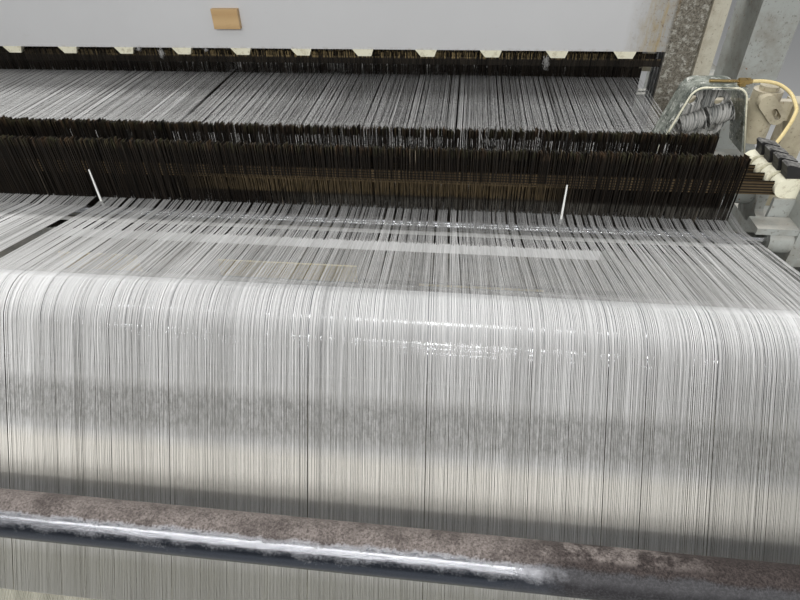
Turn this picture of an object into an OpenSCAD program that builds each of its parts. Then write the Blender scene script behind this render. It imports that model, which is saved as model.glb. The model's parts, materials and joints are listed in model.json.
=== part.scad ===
// Twin-beam power loom, seen and measured as one machine.
// X runs across the cloth, -Y is the warp side, +Y is the cloth side and Z is up.
// The origin lies on the floor under the middle of the machine. All sizes are in millimetres.

/* [Warp sheet] */
// Distance from the middle of the loom to the first thread of each half
warp_start = 28; // [27:1:34]
// Number of thread strips in each half
strip_count = 53; // [24:1:53]
// Distance between neighbouring strips
strip_pitch = 20; // [19:0.5:21]
// Width of the slot between neighbouring strips
slot_w = 6; // [5:0.5:7]
// Thickness of the thread sheet
sheet_t = 1.2; // [0.8:0.1:1.6]

/* [Back rest] */
// Radius of the back-rest roller
rest_r = 70; // [62:1:72]
// Height of the back-rest roller axis
rest_z = 910; // [906:1:930]
// Distance from the roller axis forward to the lever pivot
pivot_ahead = 180; // [170:1:190]
// Height of the lever pivot
pivot_z = 830; // [825:1:836]
// Radius of the lever shaft
pivot_r = 22; // [18:1:24]
// Thickness of each lever
lever_t = 30; // [20:1:34]

/* [Guard tube] */
// Radius of the guard tube
guard_r = 25; // [20:1:28]
// Distance of the guard tube behind the back-rest roller axis
guard_back = 235; // [232:1:250]
// Height of the guard tube axis
guard_z = 830; // [824:1:838]

/* [Warp beams] */
// Height of the warp beam axis
beam_z = 500; // [490:1:503]
// Distance of the beam axis behind the back-rest roller axis
beam_back = 10; // [0:1:20]
// Radius of the wound yarn
yarn_r = 300; // [240:1:310]
// Radius of the beam flanges
flange_r = 330; // [318:1:332]
// Thickness of a beam flange
flange_t = 12; // [8:1:14]
// Radius of the beam barrel
barrel_r = 75; // [60:1:90]
// Radius of the beam journals
journal_r = 35; // [28:1:40]
// Tooth module of the let-off gears
gear_module = 4; // [3.8:0.1:4.2]
// Teeth of the gear on each beam
gear_teeth = 120; // [110:2:124]
// Teeth of the let-off pinion
pinion_teeth = 24; // [20:2:26]
// Face width of the beam gear
gear_w = 30; // [20:1:32]

/* [Drop wires] */
// Distance from the back-rest roller axis to the first row of drop wires
row_ahead = 294; // [290:1:298]
// Distance between the rows of drop wires
row_pitch = 26.7; // [24:0.1:28]
// Length of a drop wire
wire_l = 165; // [145:1:170]
// Width of a drop wire along the warp
wire_w = 11; // [8:1:13]
// Height of the lower end of the drop wires
wire_low = 872; // [864:1:880]
// Height of a contact bar
contact_h = 18; // [14:1:24]
// Thickness of a contact bar
contact_t = 6; // [4:0.5:8]
// Radius of the guide rods
rod_r = 10; // [8:0.5:12]
// Height of the guide rod axes
rod_z = 923; // [920:1:926]

/* [Heald frames] */
// Distance from the back-rest roller axis to the rear heald frame
heald_ahead = 978; // [970:1:990]
// Distance between neighbouring heald frames
heald_pitch = 24; // [22:0.5:26]
// Travel of a heald frame between the lower and the upper shed
shed_h = 75; // [60:1:90]
// Height of the heddle eyes of a lowered frame
eye_z = 860; // [850:1:864]
// Distance from the eye to each heddle rod
heddle_half = 121; // [112:1:130]
// Height of a heddle rod
rod_h = 21; // [16:1:24]
// Height of the top stave
stave_h = 150; // [120:1:155]
// Height of the bottom stave
low_stave_h = 78; // [60:1:90]
// Thickness of the staves
stave_t = 10; // [8:0.5:12]
// Distance between neighbouring heddle hooks
hook_pitch = 161; // [140:1:180]
// Height of a heddle hook
hook_h = 16; // [12:1:22]
// Place of the middle heddle hook across the loom
hook_phase = 33; // [-60:1:60]
// Clear distance from the outermost thread to the end stays
stave_clear = 12; // [8:1:16]

/* [Sley and reed] */
// Distance from the back-rest roller axis to the reed at rest
reed_ahead = 1130; // [1122:1:1136]
// Distance from the back-rest roller axis to the fell of the cloth
fell_ahead = 1200; // [1198:1:1210]
// Height of the cloth
fell_z = 899; // [894:1:902]
// Depth of the reed dents
dent_d = 8; // [5:0.5:9]
// Height of the sley shaft
sley_z = 420; // [410:1:430]
// Radius of the sley shaft
sley_r = 35; // [28:1:40]

/* [Cloth take-up] */
// Radius of the breast beam nose
nose_r = 39; // [30:1:44]
// Radius of the take-up roller
take_r = 80; // [70:1:86]
// Height of the take-up roller axis
take_z = 740; // [730:1:745]
// Radius of the press roller
press_r = 35; // [28:1:40]
// Radius of the wound cloth
roll_r = 150; // [100:1:155]
// Height of the cloth roll axis
roll_z = 340; // [320:1:350]

/* [Side frames] */
// Clear distance from the outermost thread to the side frame
frame_clear = 130; // [126:1:136]
// Width of a side frame casting
frame_w = 150; // [130:1:170]
// Thickness of the casting's web
web_t = 25; // [18:1:32]
// Distance from the back-rest roller axis to the front foot
front_reach = 1520; // [1500:1:1560]
// Height of the middle of the side frame
frame_top = 780; // [770:1:790]

/* [Leno devices] */
// Radius of the leno disc
leno_r = 50; // [44:1:52]
// Distance from the back-rest roller axis to the leno disc
leno_ahead = 560; // [545:1:575]
// Height of the leno disc axis
leno_z = 1003; // [998:1:1010]

/* [Drive] */
// Radius of the handwheel
wheel_r = 130; // [100:1:150]
// Radius of the drive motor
motor_r = 95; // [80:1:105]
// Radius of a push button
button_r = 11; // [9:0.5:13]

/* [Hidden] */
$fn = 64;

// Clearances: a soft sheet over a roller, a running fit, a seat inside one body,
// and the butt joint between two stretches of a sheet
gap = 0.4;
run = 0.3;
seat = 0.2;
butt = 0.2;

// Colours
cream = [0.85, 0.83, 0.76];
steel = [0.70, 0.71, 0.73];
dark_steel = [0.35, 0.36, 0.38];
machine_grey = [0.72, 0.75, 0.74];
thread = [0.80, 0.79, 0.77];
plastic = [0.88, 0.88, 0.76];
black = [0.08, 0.08, 0.09];
brass = [0.72, 0.55, 0.25];

// Places along the machine, as [Y, Z] points
rear_reach = beam_back + flange_r;
rest_y = (rear_reach - front_reach) / 2;
rest = [rest_y, rest_z];
beam = [rest_y - beam_back, beam_z];
guard = [rest_y - guard_back, guard_z];
pivot = [rest_y + pivot_ahead, pivot_z];
rod_1 = [rest_y + row_ahead - 36, rod_z];
rod_2 = [rest_y + row_ahead + 116, rod_z];
rod_top = rod_z + rod_r + gap;
split_y = rod_2[0] + rod_r + 2;
heald_y = rest_y + heald_ahead;
eyes_y = heald_y + 1.5 * heald_pitch;
reed_y = rest_y + reed_ahead;
fell = [rest_y + fell_ahead, fell_z];
sley_axis = [reed_y + 20, sley_z];
nose = [fell[0] + 240, fell_z - nose_r - gap];
take = [fell[0] + 160, take_z];
press = take + (take_r + press_r + 2 * gap + sheet_t) * [cos(210), sin(210)];
roll = [fell[0] + 170, roll_z];
main_shaft = [rest_y + 1000, 450];
motor = [rest_y + 680, 300];

// Places across the machine
warp_end = warp_start + strip_count * strip_pitch - slot_w;
slots = [for (i = [0 : strip_count - 2]) warp_start + (i + 1) * strip_pitch - slot_w / 2];
both_slots = concat([for (i = [len(slots) - 1 : -1 : 0]) -slots[i]], slots);
frame_x = warp_end + frame_clear;
frame_out = frame_x + frame_w;
flange_x = warp_end + 2;
gear_x = flange_x + flange_t + 8;
roller_end = warp_end + 28;
lever_x = roller_end + 20;
bracket_x = roller_end + 8;
bracket_t = 14;
stave_end = warp_end + stave_clear;
stay_w = 70;
tongue_l = 13;
guide_x = stave_end + stay_w + 3;
guide_w = 38;

// Heald frame heights, for a lowered frame
rod_low = eye_z - heddle_half - rod_h;
rod_high = eye_z + heddle_half;
stave_low = rod_high + hook_h;
stave_top = stave_low + stave_h;
low_stave_top = rod_low - hook_h;
frame_bottom = low_stave_top - low_stave_h;
hook_places = [for (i = [-10 : 10]) if (abs(i * hook_pitch + hook_phase) < stave_end - 60) i * hook_pitch + hook_phase];

// Drop wire heights
wire_top = wire_low + wire_l;
contact_z = wire_top - 56;
holder_low = contact_z - 2;
holder_top = contact_z + contact_h + 11;
wire_t = slot_w / 2;

// Let-off gears
gear_pitch_r = gear_module * gear_teeth / 2;
pinion_pitch_r = gear_module * pinion_teeth / 2;
pinion_angle = -30;
pinion = beam + (gear_pitch_r + pinion_pitch_r) * [cos(pinion_angle), sin(pinion_angle)];
pinion_shaft_r = 15;

// Reed heights
reed_low = 840;
reed_baulk = 22;
reed_top = 966;
baulk_d = 13.4;
sley_top = reed_low + 10;

// Leno device
leno_x = warp_end - 26;
leno_y = rest_y + leno_ahead;
leno_turn = 20;
leno_arm_y = leno_y + 15;
leno_arm_t = 15;
hood_gap = 12;
hood_wall = 3;
hood_foot = leno_r + 26;
hood_low = leno_z - leno_r - 4;
hood_top = leno_z + leno_r + hood_gap;
hood_front = leno_y - 52;
leno_motor_r = 24;
leno_motor_x = leno_x + hood_foot + 2 + leno_motor_r;
lug_top = hood_top - 5;

// Route of the air hose's axis, from the brass fitting to the last holder of the right side
hose_start = [leno_x + 58, leno_y - 24, hood_top + 3];
hose_end = [bracket_x - 8, rest_y + row_ahead + 3 * row_pitch + 13, holder_top - 4];
leaving_bend = [
    [0, 0, 0], [14, -1, 1], [27, -5, 1], [38, -13, 0], [46, -24, -3], [51, -37, -7], [52, -52, -12]
];
arriving_bend = [
    [53, 72, 43], [47, 59, 38], [39, 46, 31], [30, 34, 24], [21, 23, 16], [11, 12, 8], [0, 0, 0]
];
hose_route = concat(
    [for (p = leaving_bend) hose_start + p],
    [for (p = arriving_bend) hose_end + p]
);
hose_r = 3;
hose_sides = 10;

// Vector helpers
function on(c, r, a) = c + r * [cos(a), sin(a)];
function arc(c, r, a0, a1, n) = [for (i = [0 : n]) on(c, r, a0 + (a1 - a0) * i / n)];
function turned(list) = [for (i = [len(list) - 1 : -1 : 0]) list[i]];
function heading(v) = atan2(v[1], v[0]);
function unit(v) = v / norm(v);

// Angle of the outward normal where a sheet leaves circle 1 for circle 2 on the same side
function tangent_angle(c1, r1, c2, r2) = heading(c1 - c2) + acos((r2 - r1) / norm(c1 - c2));

rear_angle = tangent_angle(rest, rest_r, beam, yarn_r);
front_angle = tangent_angle(rod_1, rod_r, rest, rest_r);
nose_angle = heading(nose - take) - acos((take_r - nose_r) / norm(nose - take));
roll_angle = tangent_angle(press, press_r, roll, roll_r);

// A profile drawn in the Y-Z plane and extruded from x0 to x1
module along_x(x0, x1) {
    translate([x0, 0, 0]) rotate([90, 0, 90]) linear_extrude(x1 - x0) children();
}

module rod_along_x(c, r, x0, x1) {
    translate([x0, c[0], c[1]]) rotate([0, 90, 0]) cylinder(r = r, h = x1 - x0);
}

module rod_along_y(x, z, r, y0, y1) {
    translate([x, y0, z]) rotate([-90, 0, 0]) cylinder(r = r, h = y1 - y0);
}

module block(low, high) {
    translate(low) cube(high - low);
}

module both_sides() {
    children();
    mirror([1, 0, 0]) children();
}

module on_side(right) {
    mirror([right ? 0 : 1, 0, 0]) children();
}

module round_rect(low, high, r) {
    offset(r, $fn = 16) translate(low + [r, r]) square(high - low - 2 * [r, r]);
}

// Sheet of thickness sheet_t on a roller, and between two rollers
module arc_skin(c, r, a0, a1, x0, x1) {
    steps = 12;
    trim = butt / r * 180 / PI;
    along_x(x0, x1) polygon(concat(
        arc(c, r, a0 + trim, a1 - trim, steps),
        turned(arc(c, r + sheet_t, a0 + trim, a1 - trim, steps))
    ));
}

module line_skin(c1, r1, c2, r2, a, x0, x1) {
    along_x(x0, x1)
        polygon([on(c1, r1, a), on(c2, r2, a), on(c2, r2 + sheet_t, a), on(c1, r1 + sheet_t, a)]);
}

// Outline of one half's thread strips, joined by a spine at the near or the far end
function comb(l, spine, far) =
    let (
        teeth = [for (i = [strip_count - 1 : -1 : 0])
            let (x1 = warp_start + (i + 1) * strip_pitch - slot_w, x0 = warp_start + i * strip_pitch)
            [[x1, spine], [x1, l], [x0, l], [x0, spine]]],
        near = concat([[warp_start, 0], [warp_end, 0]], [for (t = teeth) each t])
    )
    far ? turned([for (p = near) [p[0], l - p[1]]]) : near;

// Slotted sheet from point a to point b, with its thickness above or below that line
module slotted_sheet(a, b, spine, far, above) {
    translate([0, a[0], a[1]]) rotate([heading(b - a), 0, 0])
        translate([0, butt / 2, above ? 0 : -sheet_t])
            linear_extrude(sheet_t) polygon(comb(norm(b - a) - butt, spine, far));
}

// Warp threads of one half: beam, roller, drop wires, open shed and fell
module warp_half() {
    zone_y = rod_1[0] + 3;
    split = rod_top + sheet_t / 2;
    line_skin(rest, rest_r + gap, beam, yarn_r + gap, rear_angle, warp_start, warp_end);
    arc_skin(rest, rest_r + gap, front_angle, rear_angle, warp_start, warp_end);
    line_skin(rod_1, rod_r + gap, rest, rest_r + gap, front_angle, warp_start, warp_end);
    slotted_sheet([zone_y, rod_top], [split_y, rod_top], 6, false, true);
    slotted_sheet([split_y, split + 0.1], [eyes_y, eye_z + shed_h], 10, false, true);
    slotted_sheet([split_y, split - 0.1], [eyes_y, eye_z], 10, false, false);
    slotted_sheet([eyes_y, eye_z + shed_h], [fell[0], fell[1] + 0.1], 9, true, true);
    slotted_sheet([eyes_y, eye_z], [fell[0], fell[1] - 0.1], 9, true, false);
}

module warp_left() {
    color(thread) on_side(false) warp_half();
}

module warp_right() {
    color(thread) on_side(true) warp_half();
}

// Woven cloth: fell, breast beam, take-up roller, press roller and cloth roll
module cloth() {
    start = fell + [run, -nose_r - gap];
    color(thread) {
        line_skin(start, nose_r + gap, nose, nose_r + gap, 90, -warp_end, warp_end);
        arc_skin(nose, nose_r + gap, nose_angle, 90, -warp_end, warp_end);
        line_skin(nose, nose_r + gap, take, take_r + gap, nose_angle, -warp_end, warp_end);
        arc_skin(take, take_r + gap, -150, nose_angle, -warp_end, warp_end);
        arc_skin(press, press_r + gap, 30, roll_angle, -warp_end, warp_end);
        line_skin(press, press_r + gap, roll, roll_r + gap, roll_angle, -warp_end, warp_end);
    }
}

// Side frame castings with a web on the inside and ribs on the outside
shaft_bores = [
    [beam, journal_r], [pinion, pinion_shaft_r], [pivot, pivot_r], [sley_axis, sley_r],
    [take, 25], [press, 15], [roll, 25]
];
boss_wall = 32;
pocket_columns = [
    [-110, 150, 690], [180, 430, 840], [465, 700, 740],
    [735, 965, 740], [1000, 1215, 740], [1250, 1460, 820]
];
pocket_rows = [[70, 290], [325, 515], [550, 2000]];

function frame_outline() = [for (p = [
    [-270, 0], [front_reach, 0], [front_reach, 70], [front_reach - 30, 150],
    [front_reach - 30, 860], [front_reach - 290, 860], [front_reach - 340, frame_top], [470, frame_top], [440, 880], [110, 880], [60, 760], [-60, 740],
    [-180, guard_z + 45], [-guard_back - 45, guard_z + 45], [-guard_back - 45, guard_z - 35],
    [-165, 640], [-150, 200], [-270, 70]
]) [rest_y + p[0], p[1]]];

module side_frame() {
    difference() {
        along_x(frame_x, frame_out) offset(18, $fn = 24) offset(-18) polygon(frame_outline());
        difference() {
            along_x(frame_x + web_t, frame_out + 1)
                for (c = pocket_columns, r = pocket_rows)
                    round_rect([rest_y + c[0], r[0]], [rest_y + c[1], min(r[1], c[2])], 22);
            for (b = shaft_bores)
                rod_along_x(b[0], b[1] + boss_wall, frame_x, frame_out);
        }
        for (b = shaft_bores)
            rod_along_x(b[0], b[1] + run, frame_x - 1, frame_out + 1);
        rod_along_x(guard, guard_r + seat, frame_x - 1, frame_x + web_t);
    }
}

module side_frames() {
    color(machine_grey) both_sides() side_frame();
}

// Box-section beams between the side frames
module box_beam(low, high, wall) {
    difference() {
        block([-frame_x, low[0], low[1]], [frame_x, high[0], high[1]]);
        block([-frame_x - 1, low[0] + wall, low[1] + wall], [frame_x + 1, high[0] - wall, high[1] - wall]);
    }
}

tie_low = [rest_y + 350, 650];
tie_high = [rest_y + 450, 740];
rear_beam_top = 130;

module cross_beams() {
    color(cream) {
        box_beam([beam[0] - 80, 20], [beam[0] + 80, rear_beam_top], 10);
        box_beam([rest_y + 840, 60], [rest_y + 980, 240], 10);
        box_beam(tie_low, tie_high, 6);
    }
}

// Pedestal that carries the inner journals of both warp beams
module centre_bearing() {
    half = warp_start - flange_t - 4;
    color(machine_grey) difference() {
        along_x(-half, half) hull() {
            translate([beam[0] - 75, rear_beam_top]) square([150, 10]);
            translate(beam) circle(r = 52, $fn = 32);
        }
        rod_along_x(beam, 30 + run, -half - 1, half + 1);
    }
}

module guard_tube() {
    color(steel) difference() {
        rod_along_x(guard, guard_r, -frame_x - web_t + 2, frame_x + web_t - 2);
        rod_along_x(guard, guard_r - 3, -frame_x - web_t, frame_x + web_t);
    }
}

module guide_rods() {
    color(steel) {
        rod_along_x(rod_1, rod_r, -bracket_x - bracket_t, bracket_x + bracket_t);
        rod_along_x(rod_2, rod_r, -bracket_x - bracket_t, bracket_x + bracket_t);
    }
}

// Plates that carry the guide rods, the contact bars and the divider bar
bracket_low = 880;
bracket_top = holder_top - 1;
divider = [rod_1[0] + 19, rod_z - 19];
boss_r = 20;
boss_l = 34;
slab_l = 58;

module stop_motion_bracket() {
    y0 = rod_1[0] - boss_r;
    y1 = rod_2[0] + boss_r + 2;
    lip_y = row_y(1) - holder_w / 2 - 3;
    difference() {
        union() {
            along_x(bracket_x, bracket_x + bracket_t) difference() {
                offset(8, $fn = 24) offset(-8) polygon([
                    [y0, bracket_low], [y1, bracket_low], [y1, rod_z + 40],
                    [y1 - 15, bracket_top], [y0 + 25, bracket_top], [y0, rod_z + 45]
                ]);
                round_rect([rod_1[0] + 34, rod_z - 20], [rod_2[0] - 34, contact_z - 14], 10);
            }
            block([bracket_x, y0 + 12, bracket_low], [frame_x + 60, y1 - 12, bracket_low + 12]);
            for (rod = [rod_1, rod_2])
                rod_along_x(rod, boss_r, bracket_x - boss_l, bracket_x + 1);
            block(
                [bracket_x - slab_l, rod_1[0] - boss_r + 2, rod_z + boss_r - 2],
                [bracket_x + 1, rod_1[0] + boss_r - 2, rod_z + boss_r + 8]
            );
            block([bracket_x - 30, lip_y, rod_z + 22], [bracket_x + 1, lip_y + 6, holder_low - seat]);
        }
        for (rod = [rod_1, rod_2])
            rod_along_x(rod, rod_r + seat, bracket_x - boss_l - 1, bracket_x + bracket_t + 1);
    }
}

module stop_motion_brackets() {
    color(machine_grey) both_sides() stop_motion_bracket();
}

// One row of drop wires hanging on its contact bar
function row_y(row) = rest_y + row_ahead + (row - 1) * row_pitch;
bar_end = bracket_x - 20;

module drop_wires(row) {
    y = row_y(row);
    color([0.16, 0.12, 0.10]) {
        block([-bar_end, y - contact_t / 2, contact_z], [bar_end, y + contact_t / 2, contact_z + contact_h]);
        for (i = [0 : len(both_slots) - 1]) {
            ragged = 2 * sin(i * 97 + row * 41);
            block(
                [both_slots[i] - wire_t / 2, y - wire_w / 2, wire_low],
                [both_slots[i] + wire_t / 2, y + wire_w / 2, wire_top + ragged]
            );
        }
    }
}

// Insulating blocks with round noses at the ends of the contact bars, and their wedge caps.
// Each row further from the roller reaches further in.
holder_l = 34;
holder_w = 22;
row_lead = 4.25;
nipple_r = 4.5;

module across_x(y, w) {
    translate([0, y + w / 2, 0]) rotate([90, 0, 0]) linear_extrude(w) children();
}

module contact_bar_holder(row) {
    y = row_y(row);
    x0 = bracket_x - holder_l - (row - 1) * row_lead;
    nose = (holder_top - holder_low) / 2;
    difference() {
        across_x(y, holder_w) hull() {
            translate([x0 + nose, holder_low + nose]) circle(r = nose, $fn = 32);
            translate([bracket_x - 2, holder_low]) square([2, holder_top - holder_low]);
        }
        block(
            [x0 - 1, y - contact_t / 2 - seat, contact_z - seat],
            [bar_end + seat, y + contact_t / 2 + seat, contact_z + contact_h + seat]
        );
    }
}

module pipe(a, b, r) {
    v = b - a;
    translate(a) rotate([0, acos(v[2] / norm(v)), atan2(v[1], v[0])]) cylinder(r = r, h = norm(v), $fn = 24);
}

module contact_bar_holders() {
    last = len(hose_route) - 1;
    color(plastic) {
        both_sides() for (row = [1 : 4]) contact_bar_holder(row);
        pipe(hose_route[last], hose_route[last] + 14 * unit(hose_route[last] - hose_route[last - 1]), nipple_r);
    }
}

module holder_caps() {
    color(black) both_sides() for (row = [1 : 4])
        across_x(row_y(row), holder_w - 2)
            translate([bracket_x - 30 - (row - 1) * row_lead / 2, holder_top])
                polygon([[5, 0], [27, 0], [27, 7], [29, 15], [3, 21], [0, 19], [4, 8]]);
}

// White tapered pins that divide the sheet, standing on a bar under it
pin_places = [10, slots[0] + 37 * strip_pitch];
pin_h = 88;

module divider_pins() {
    color("white") {
        block([-bracket_x, divider[0] - 6, divider[1] - 8], [bracket_x, divider[0] + 6, divider[1]]);
        for (x = pin_places)
            translate([x, divider[0], divider[1] - 1]) cylinder(r1 = slot_w * 0.4, r2 = 1.2, h = pin_h + 1);
    }
}

// Columns on the side frames and the grooved guides of the heald frames
column_x = frame_x + 50;
column_w = 90;
guide_low = [heald_y - 16, 700];
guide_high = [heald_y + 3 * heald_pitch + 16, 1240];
arm_heights = [810, 1170];
column_top = 1250;

module upright() {
    y0 = guide_low[0] - 22;
    y1 = guide_high[0] + 14;
    difference() {
        union() {
            along_x(column_x, column_x + column_w) polygon([
                [y0 - 20, frame_top], [y1 + 20, frame_top], [y1, frame_top + 90],
                [y1, column_top], [y0, column_top], [y0, frame_top + 90]
            ]);
            for (z = arm_heights)
                block([guide_x + guide_w, guide_low[0], z], [column_x + 1, guide_high[0], z + 36]);
        }
        along_x(column_x + 20, column_x + column_w + 1) {
            round_rect([y0 + 18, frame_top + 90], [y1 - 18, frame_top + 250], 12);
            round_rect([y0 + 18, frame_top + 275], [y1 - 18, 1230], 12);
        }
    }
}

module uprights() {
    color(machine_grey) both_sides() upright();
}

module heald_guide() {
    difference() {
        block([guide_x, guide_low[0], guide_low[1]], [guide_x + guide_w, guide_high[0], guide_high[1]]);
        for (k = [0 : 3]) {
            y = heald_y + k * heald_pitch;
            block([guide_x - 1, y - 3 - run, guide_low[1] - 1], [guide_x + 14, y + 3 + run, guide_high[1] + 1]);
        }
    }
}

module heald_guides() {
    color(cream) both_sides() heald_guide();
}

// Heald frames, numbered from the cloth side: odd ones stand raised
function frame_y(k) = heald_y + (4 - k) * heald_pitch;
function frame_lift(k) = k % 2 == 1 ? shed_h : 0;

module at_frame(k) {
    translate([0, frame_y(k), frame_lift(k)]) children();
}

module hook(low) {
    lean = low ? -1 : 1;
    base = low ? low_stave_top : stave_low;
    rotate([90, 0, 0]) linear_extrude(stave_t + 4, center = true) polygon([
        [-27, base], [27, base], [21, base - lean * hook_h], [-13, base - lean * hook_h]
    ]);
}

module heald_frame(k, hooks) {
    at_frame(k) {
        block([-stave_end - 1, -stave_t / 2, stave_low], [stave_end + 1, stave_t / 2, stave_top]);
        block([-stave_end - 1, -stave_t / 2, frame_bottom], [stave_end + 1, stave_t / 2, low_stave_top]);
        both_sides() {
            block([stave_end, -6, frame_bottom], [stave_end + stay_w, 6, stave_top]);
            block([stave_end + stay_w - 1, -3, frame_bottom], [stave_end + stay_w + tongue_l, 3, stave_top]);
            translate([stave_end * 0.55, 0, frame_bottom - 120]) cylinder(r = 8, h = 121);
        }
        for (x = hook_places) translate([x, 0, 0]) {
            hook(true);
            if (hooks) hook(false);
        }
    }
}

// Heddle wires joined to their two rods: one comb whose spine lies in the upper rod
rod_t = 5;
heddle_t = 3;
heddle_w = 2.4;

module heddles(k) {
    rod_end = stave_end - 4;
    half = heddle_w / 2;
    spine = rod_high - rod_h / 2;
    last = slots[len(slots) - 1] + half;
    color([0.25, 0.20, 0.15]) at_frame(k) {
        block([-rod_end, -rod_t / 2, rod_low], [rod_end, rod_t / 2, rod_low + rod_h]);
        block([-rod_end, -rod_t / 2, rod_high - rod_h], [rod_end, rod_t / 2, rod_high]);
        translate([0, heddle_t / 2, 0]) rotate([90, 0, 0]) linear_extrude(heddle_t) polygon(concat(
            [[-last, spine], [-last, spine + 3], [last, spine + 3]],
            [for (i = [len(both_slots) - 1 : -1 : 0]) let (x = both_slots[i]) each [
                [x + half, spine], [x + half, rod_low + 4], [x - half, rod_low + 4], [x - half, spine]
            ]]
        ));
    }
}

module heddle_hooks() {
    color(plastic) at_frame(4)
        for (x = hook_places) translate([x, 0, 0]) hook(false);
}

wear_x = 13;
wear_l = 68;

module wear_block() {
    color([0.62, 0.42, 0.20]) at_frame(4)
        block([wear_x - wear_l / 2, -stave_t / 2 - 14, stave_low + 49], [wear_x + wear_l / 2, -stave_t / 2, stave_low + 95]);
}

// Easing motion: levers on a cross shaft carry the back-rest roller
module easing_shaft() {
    color(steel) rod_along_x(pivot, pivot_r, -frame_x - web_t, frame_x + web_t);
}

roller_journal_r = 20;
roller_wall = 6;
vent_r = 6;

module easing_levers() {
    color(machine_grey) both_sides() difference() {
        along_x(lever_x, lever_x + lever_t) hull() {
            translate(pivot) circle(r = pivot_r + 24, $fn = 32);
            translate(rest) circle(r = roller_journal_r + 20, $fn = 32);
        }
        rod_along_x(pivot, pivot_r + seat, lever_x - 1, lever_x + lever_t + 1);
        rod_along_x(rest, roller_journal_r + run, lever_x - 1, lever_x + lever_t + 1);
    }
}

module back_rest_roller() {
    color(steel) difference() {
        union() {
            rod_along_x(rest, rest_r, -roller_end, roller_end);
            rod_along_x(rest, roller_journal_r, -lever_x - lever_t - 4, lever_x + lever_t + 4);
        }
        rod_along_x(rest, rest_r - roller_wall, -roller_end + 24, roller_end - 24);
        rod_along_x(rest, vent_r, -frame_x, frame_x);
    }
}

// Gear outline with straight-flanked teeth, the first tooth on +X
function gear_points(n, m) =
    let (
        step = 360 / n,
        tip_r = m * n / 2 + 0.9 * m,
        root_r = m * n / 2 - 1.25 * m,
        tip_half = step * 0.10,
        root_half = step * 0.34
    )
    [for (i = [0 : n - 1]) each [
        on([0, 0], root_r, i * step - root_half), on([0, 0], tip_r, i * step - tip_half),
        on([0, 0], tip_r, i * step + tip_half), on([0, 0], root_r, i * step + root_half)
    ]];

module spur_gear(c, n, turn, x0, x1) {
    along_x(x0, x1) translate(c) rotate(turn) polygon(gear_points(n, gear_module));
}

// Warp beam: barrel, two flanges, ribbed outer face, gear and journals
module warp_beam() {
    color(steel) {
        rod_along_x(beam, barrel_r, warp_start - 1, flange_x + 1);
        rod_along_x(beam, flange_r, warp_start - flange_t, warp_start);
        rod_along_x(beam, flange_r, flange_x, flange_x + flange_t);
        rod_along_x(beam, barrel_r + 15, flange_x, gear_x + gear_w);
        for (a = [0 : 60 : 300]) along_x(flange_x + flange_t - 1, gear_x - 1)
            translate(beam) rotate(a) translate([barrel_r, -6]) square([flange_r - barrel_r - 12, 12]);
        spur_gear(beam, gear_teeth, pinion_angle, gear_x, gear_x + gear_w);
        rod_along_x(beam, journal_r, gear_x, frame_x + web_t);
        rod_along_x(beam, 30, 0.5, warp_start);
    }
}

module beam_yarn() {
    color(thread) difference() {
        rod_along_x(beam, yarn_r, warp_start + seat, flange_x - seat);
        rod_along_x(beam, barrel_r + seat, warp_start - 1, flange_x + 1);
    }
}

module let_off_pinion() {
    color(dark_steel) {
        spur_gear(pinion, pinion_teeth, pinion_angle + 180 + 180 / pinion_teeth, gear_x, gear_x + gear_w);
        rod_along_x(pinion, pinion_shaft_r, gear_x, frame_out + 30);
    }
}

module let_off_gearboxes() {
    color(machine_grey) both_sides() difference() {
        union() {
            along_x(frame_out, frame_out + 75)
                round_rect(pinion - [85, 75], pinion + [85, 75], 18);
            rod_along_x(pinion, 52, frame_out + 74, frame_out + 150);
        }
        rod_along_x(pinion, pinion_shaft_r + run, frame_out - 1, frame_out + 32);
    }
}

// Sley: rocking shaft, arms, hollow beam and the groove for the reed
arm_places = [-1000, -340, 340, 1000];
sley_end = warp_end + 44;

module sley_shaft() {
    color(steel) rod_along_x(sley_axis, sley_r, -frame_x - web_t, frame_x + web_t);
}

module sley() {
    color(machine_grey) difference() {
        union() {
            block([-sley_end, reed_y - 25, 775], [sley_end, reed_y + 25, sley_top]);
            for (x = arm_places) along_x(x - 18, x + 18) hull() {
                translate(sley_axis) circle(r = sley_r + 26, $fn = 32);
                translate([reed_y - 18, 776]) square([36, 10]);
            }
        }
        block([-sley_end - 1, reed_y - 18, 785], [sley_end + 1, reed_y + 18, sley_top - 20]);
        block([-sley_end - 1, reed_y - baulk_d / 2 - seat, reed_low], [sley_end + 1, reed_y + baulk_d / 2 + seat, sley_top + 1]);
        rod_along_x(sley_axis, sley_r + seat, -frame_x, frame_x);
    }
}

module reed() {
    half = baulk_d / 2;
    color(steel) {
        block([-warp_end - 12, reed_y - half, reed_low], [warp_end + 12, reed_y + half, reed_low + reed_baulk]);
        block([-warp_end - 12, reed_y - half, reed_top - 18], [warp_end + 12, reed_y + half, reed_top]);
        for (x = both_slots)
            block([x - 1.2, reed_y - dent_d / 2, reed_low + reed_baulk - 1], [x + 1.2, reed_y + dent_d / 2, reed_top - 17]);
    }
}

// Air manifold on the sley with relay nozzles in the slots, and the main nozzle at the left
relay_step = 8;

module nozzles() {
    front = reed_y + 25;
    tip = reed_low + 53;
    color(brass) {
        block([-warp_end, front, sley_top - 45], [warp_end, front + 8, sley_top - 30]);
        for (i = [2 : relay_step : len(slots) - 1], s = [-1, 1])
            block([s * slots[i] - 1.5, front + 2, sley_top - 31], [s * slots[i] + 1.5, front + 6, tip]);
        rod_along_x([reed_y + 15, tip + 4], 5, -sley_end, -warp_end - 6);
        block([-sley_end + 2, reed_y + 12, sley_top], [-sley_end + 14, reed_y + 18, tip + 4]);
    }
}

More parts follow.
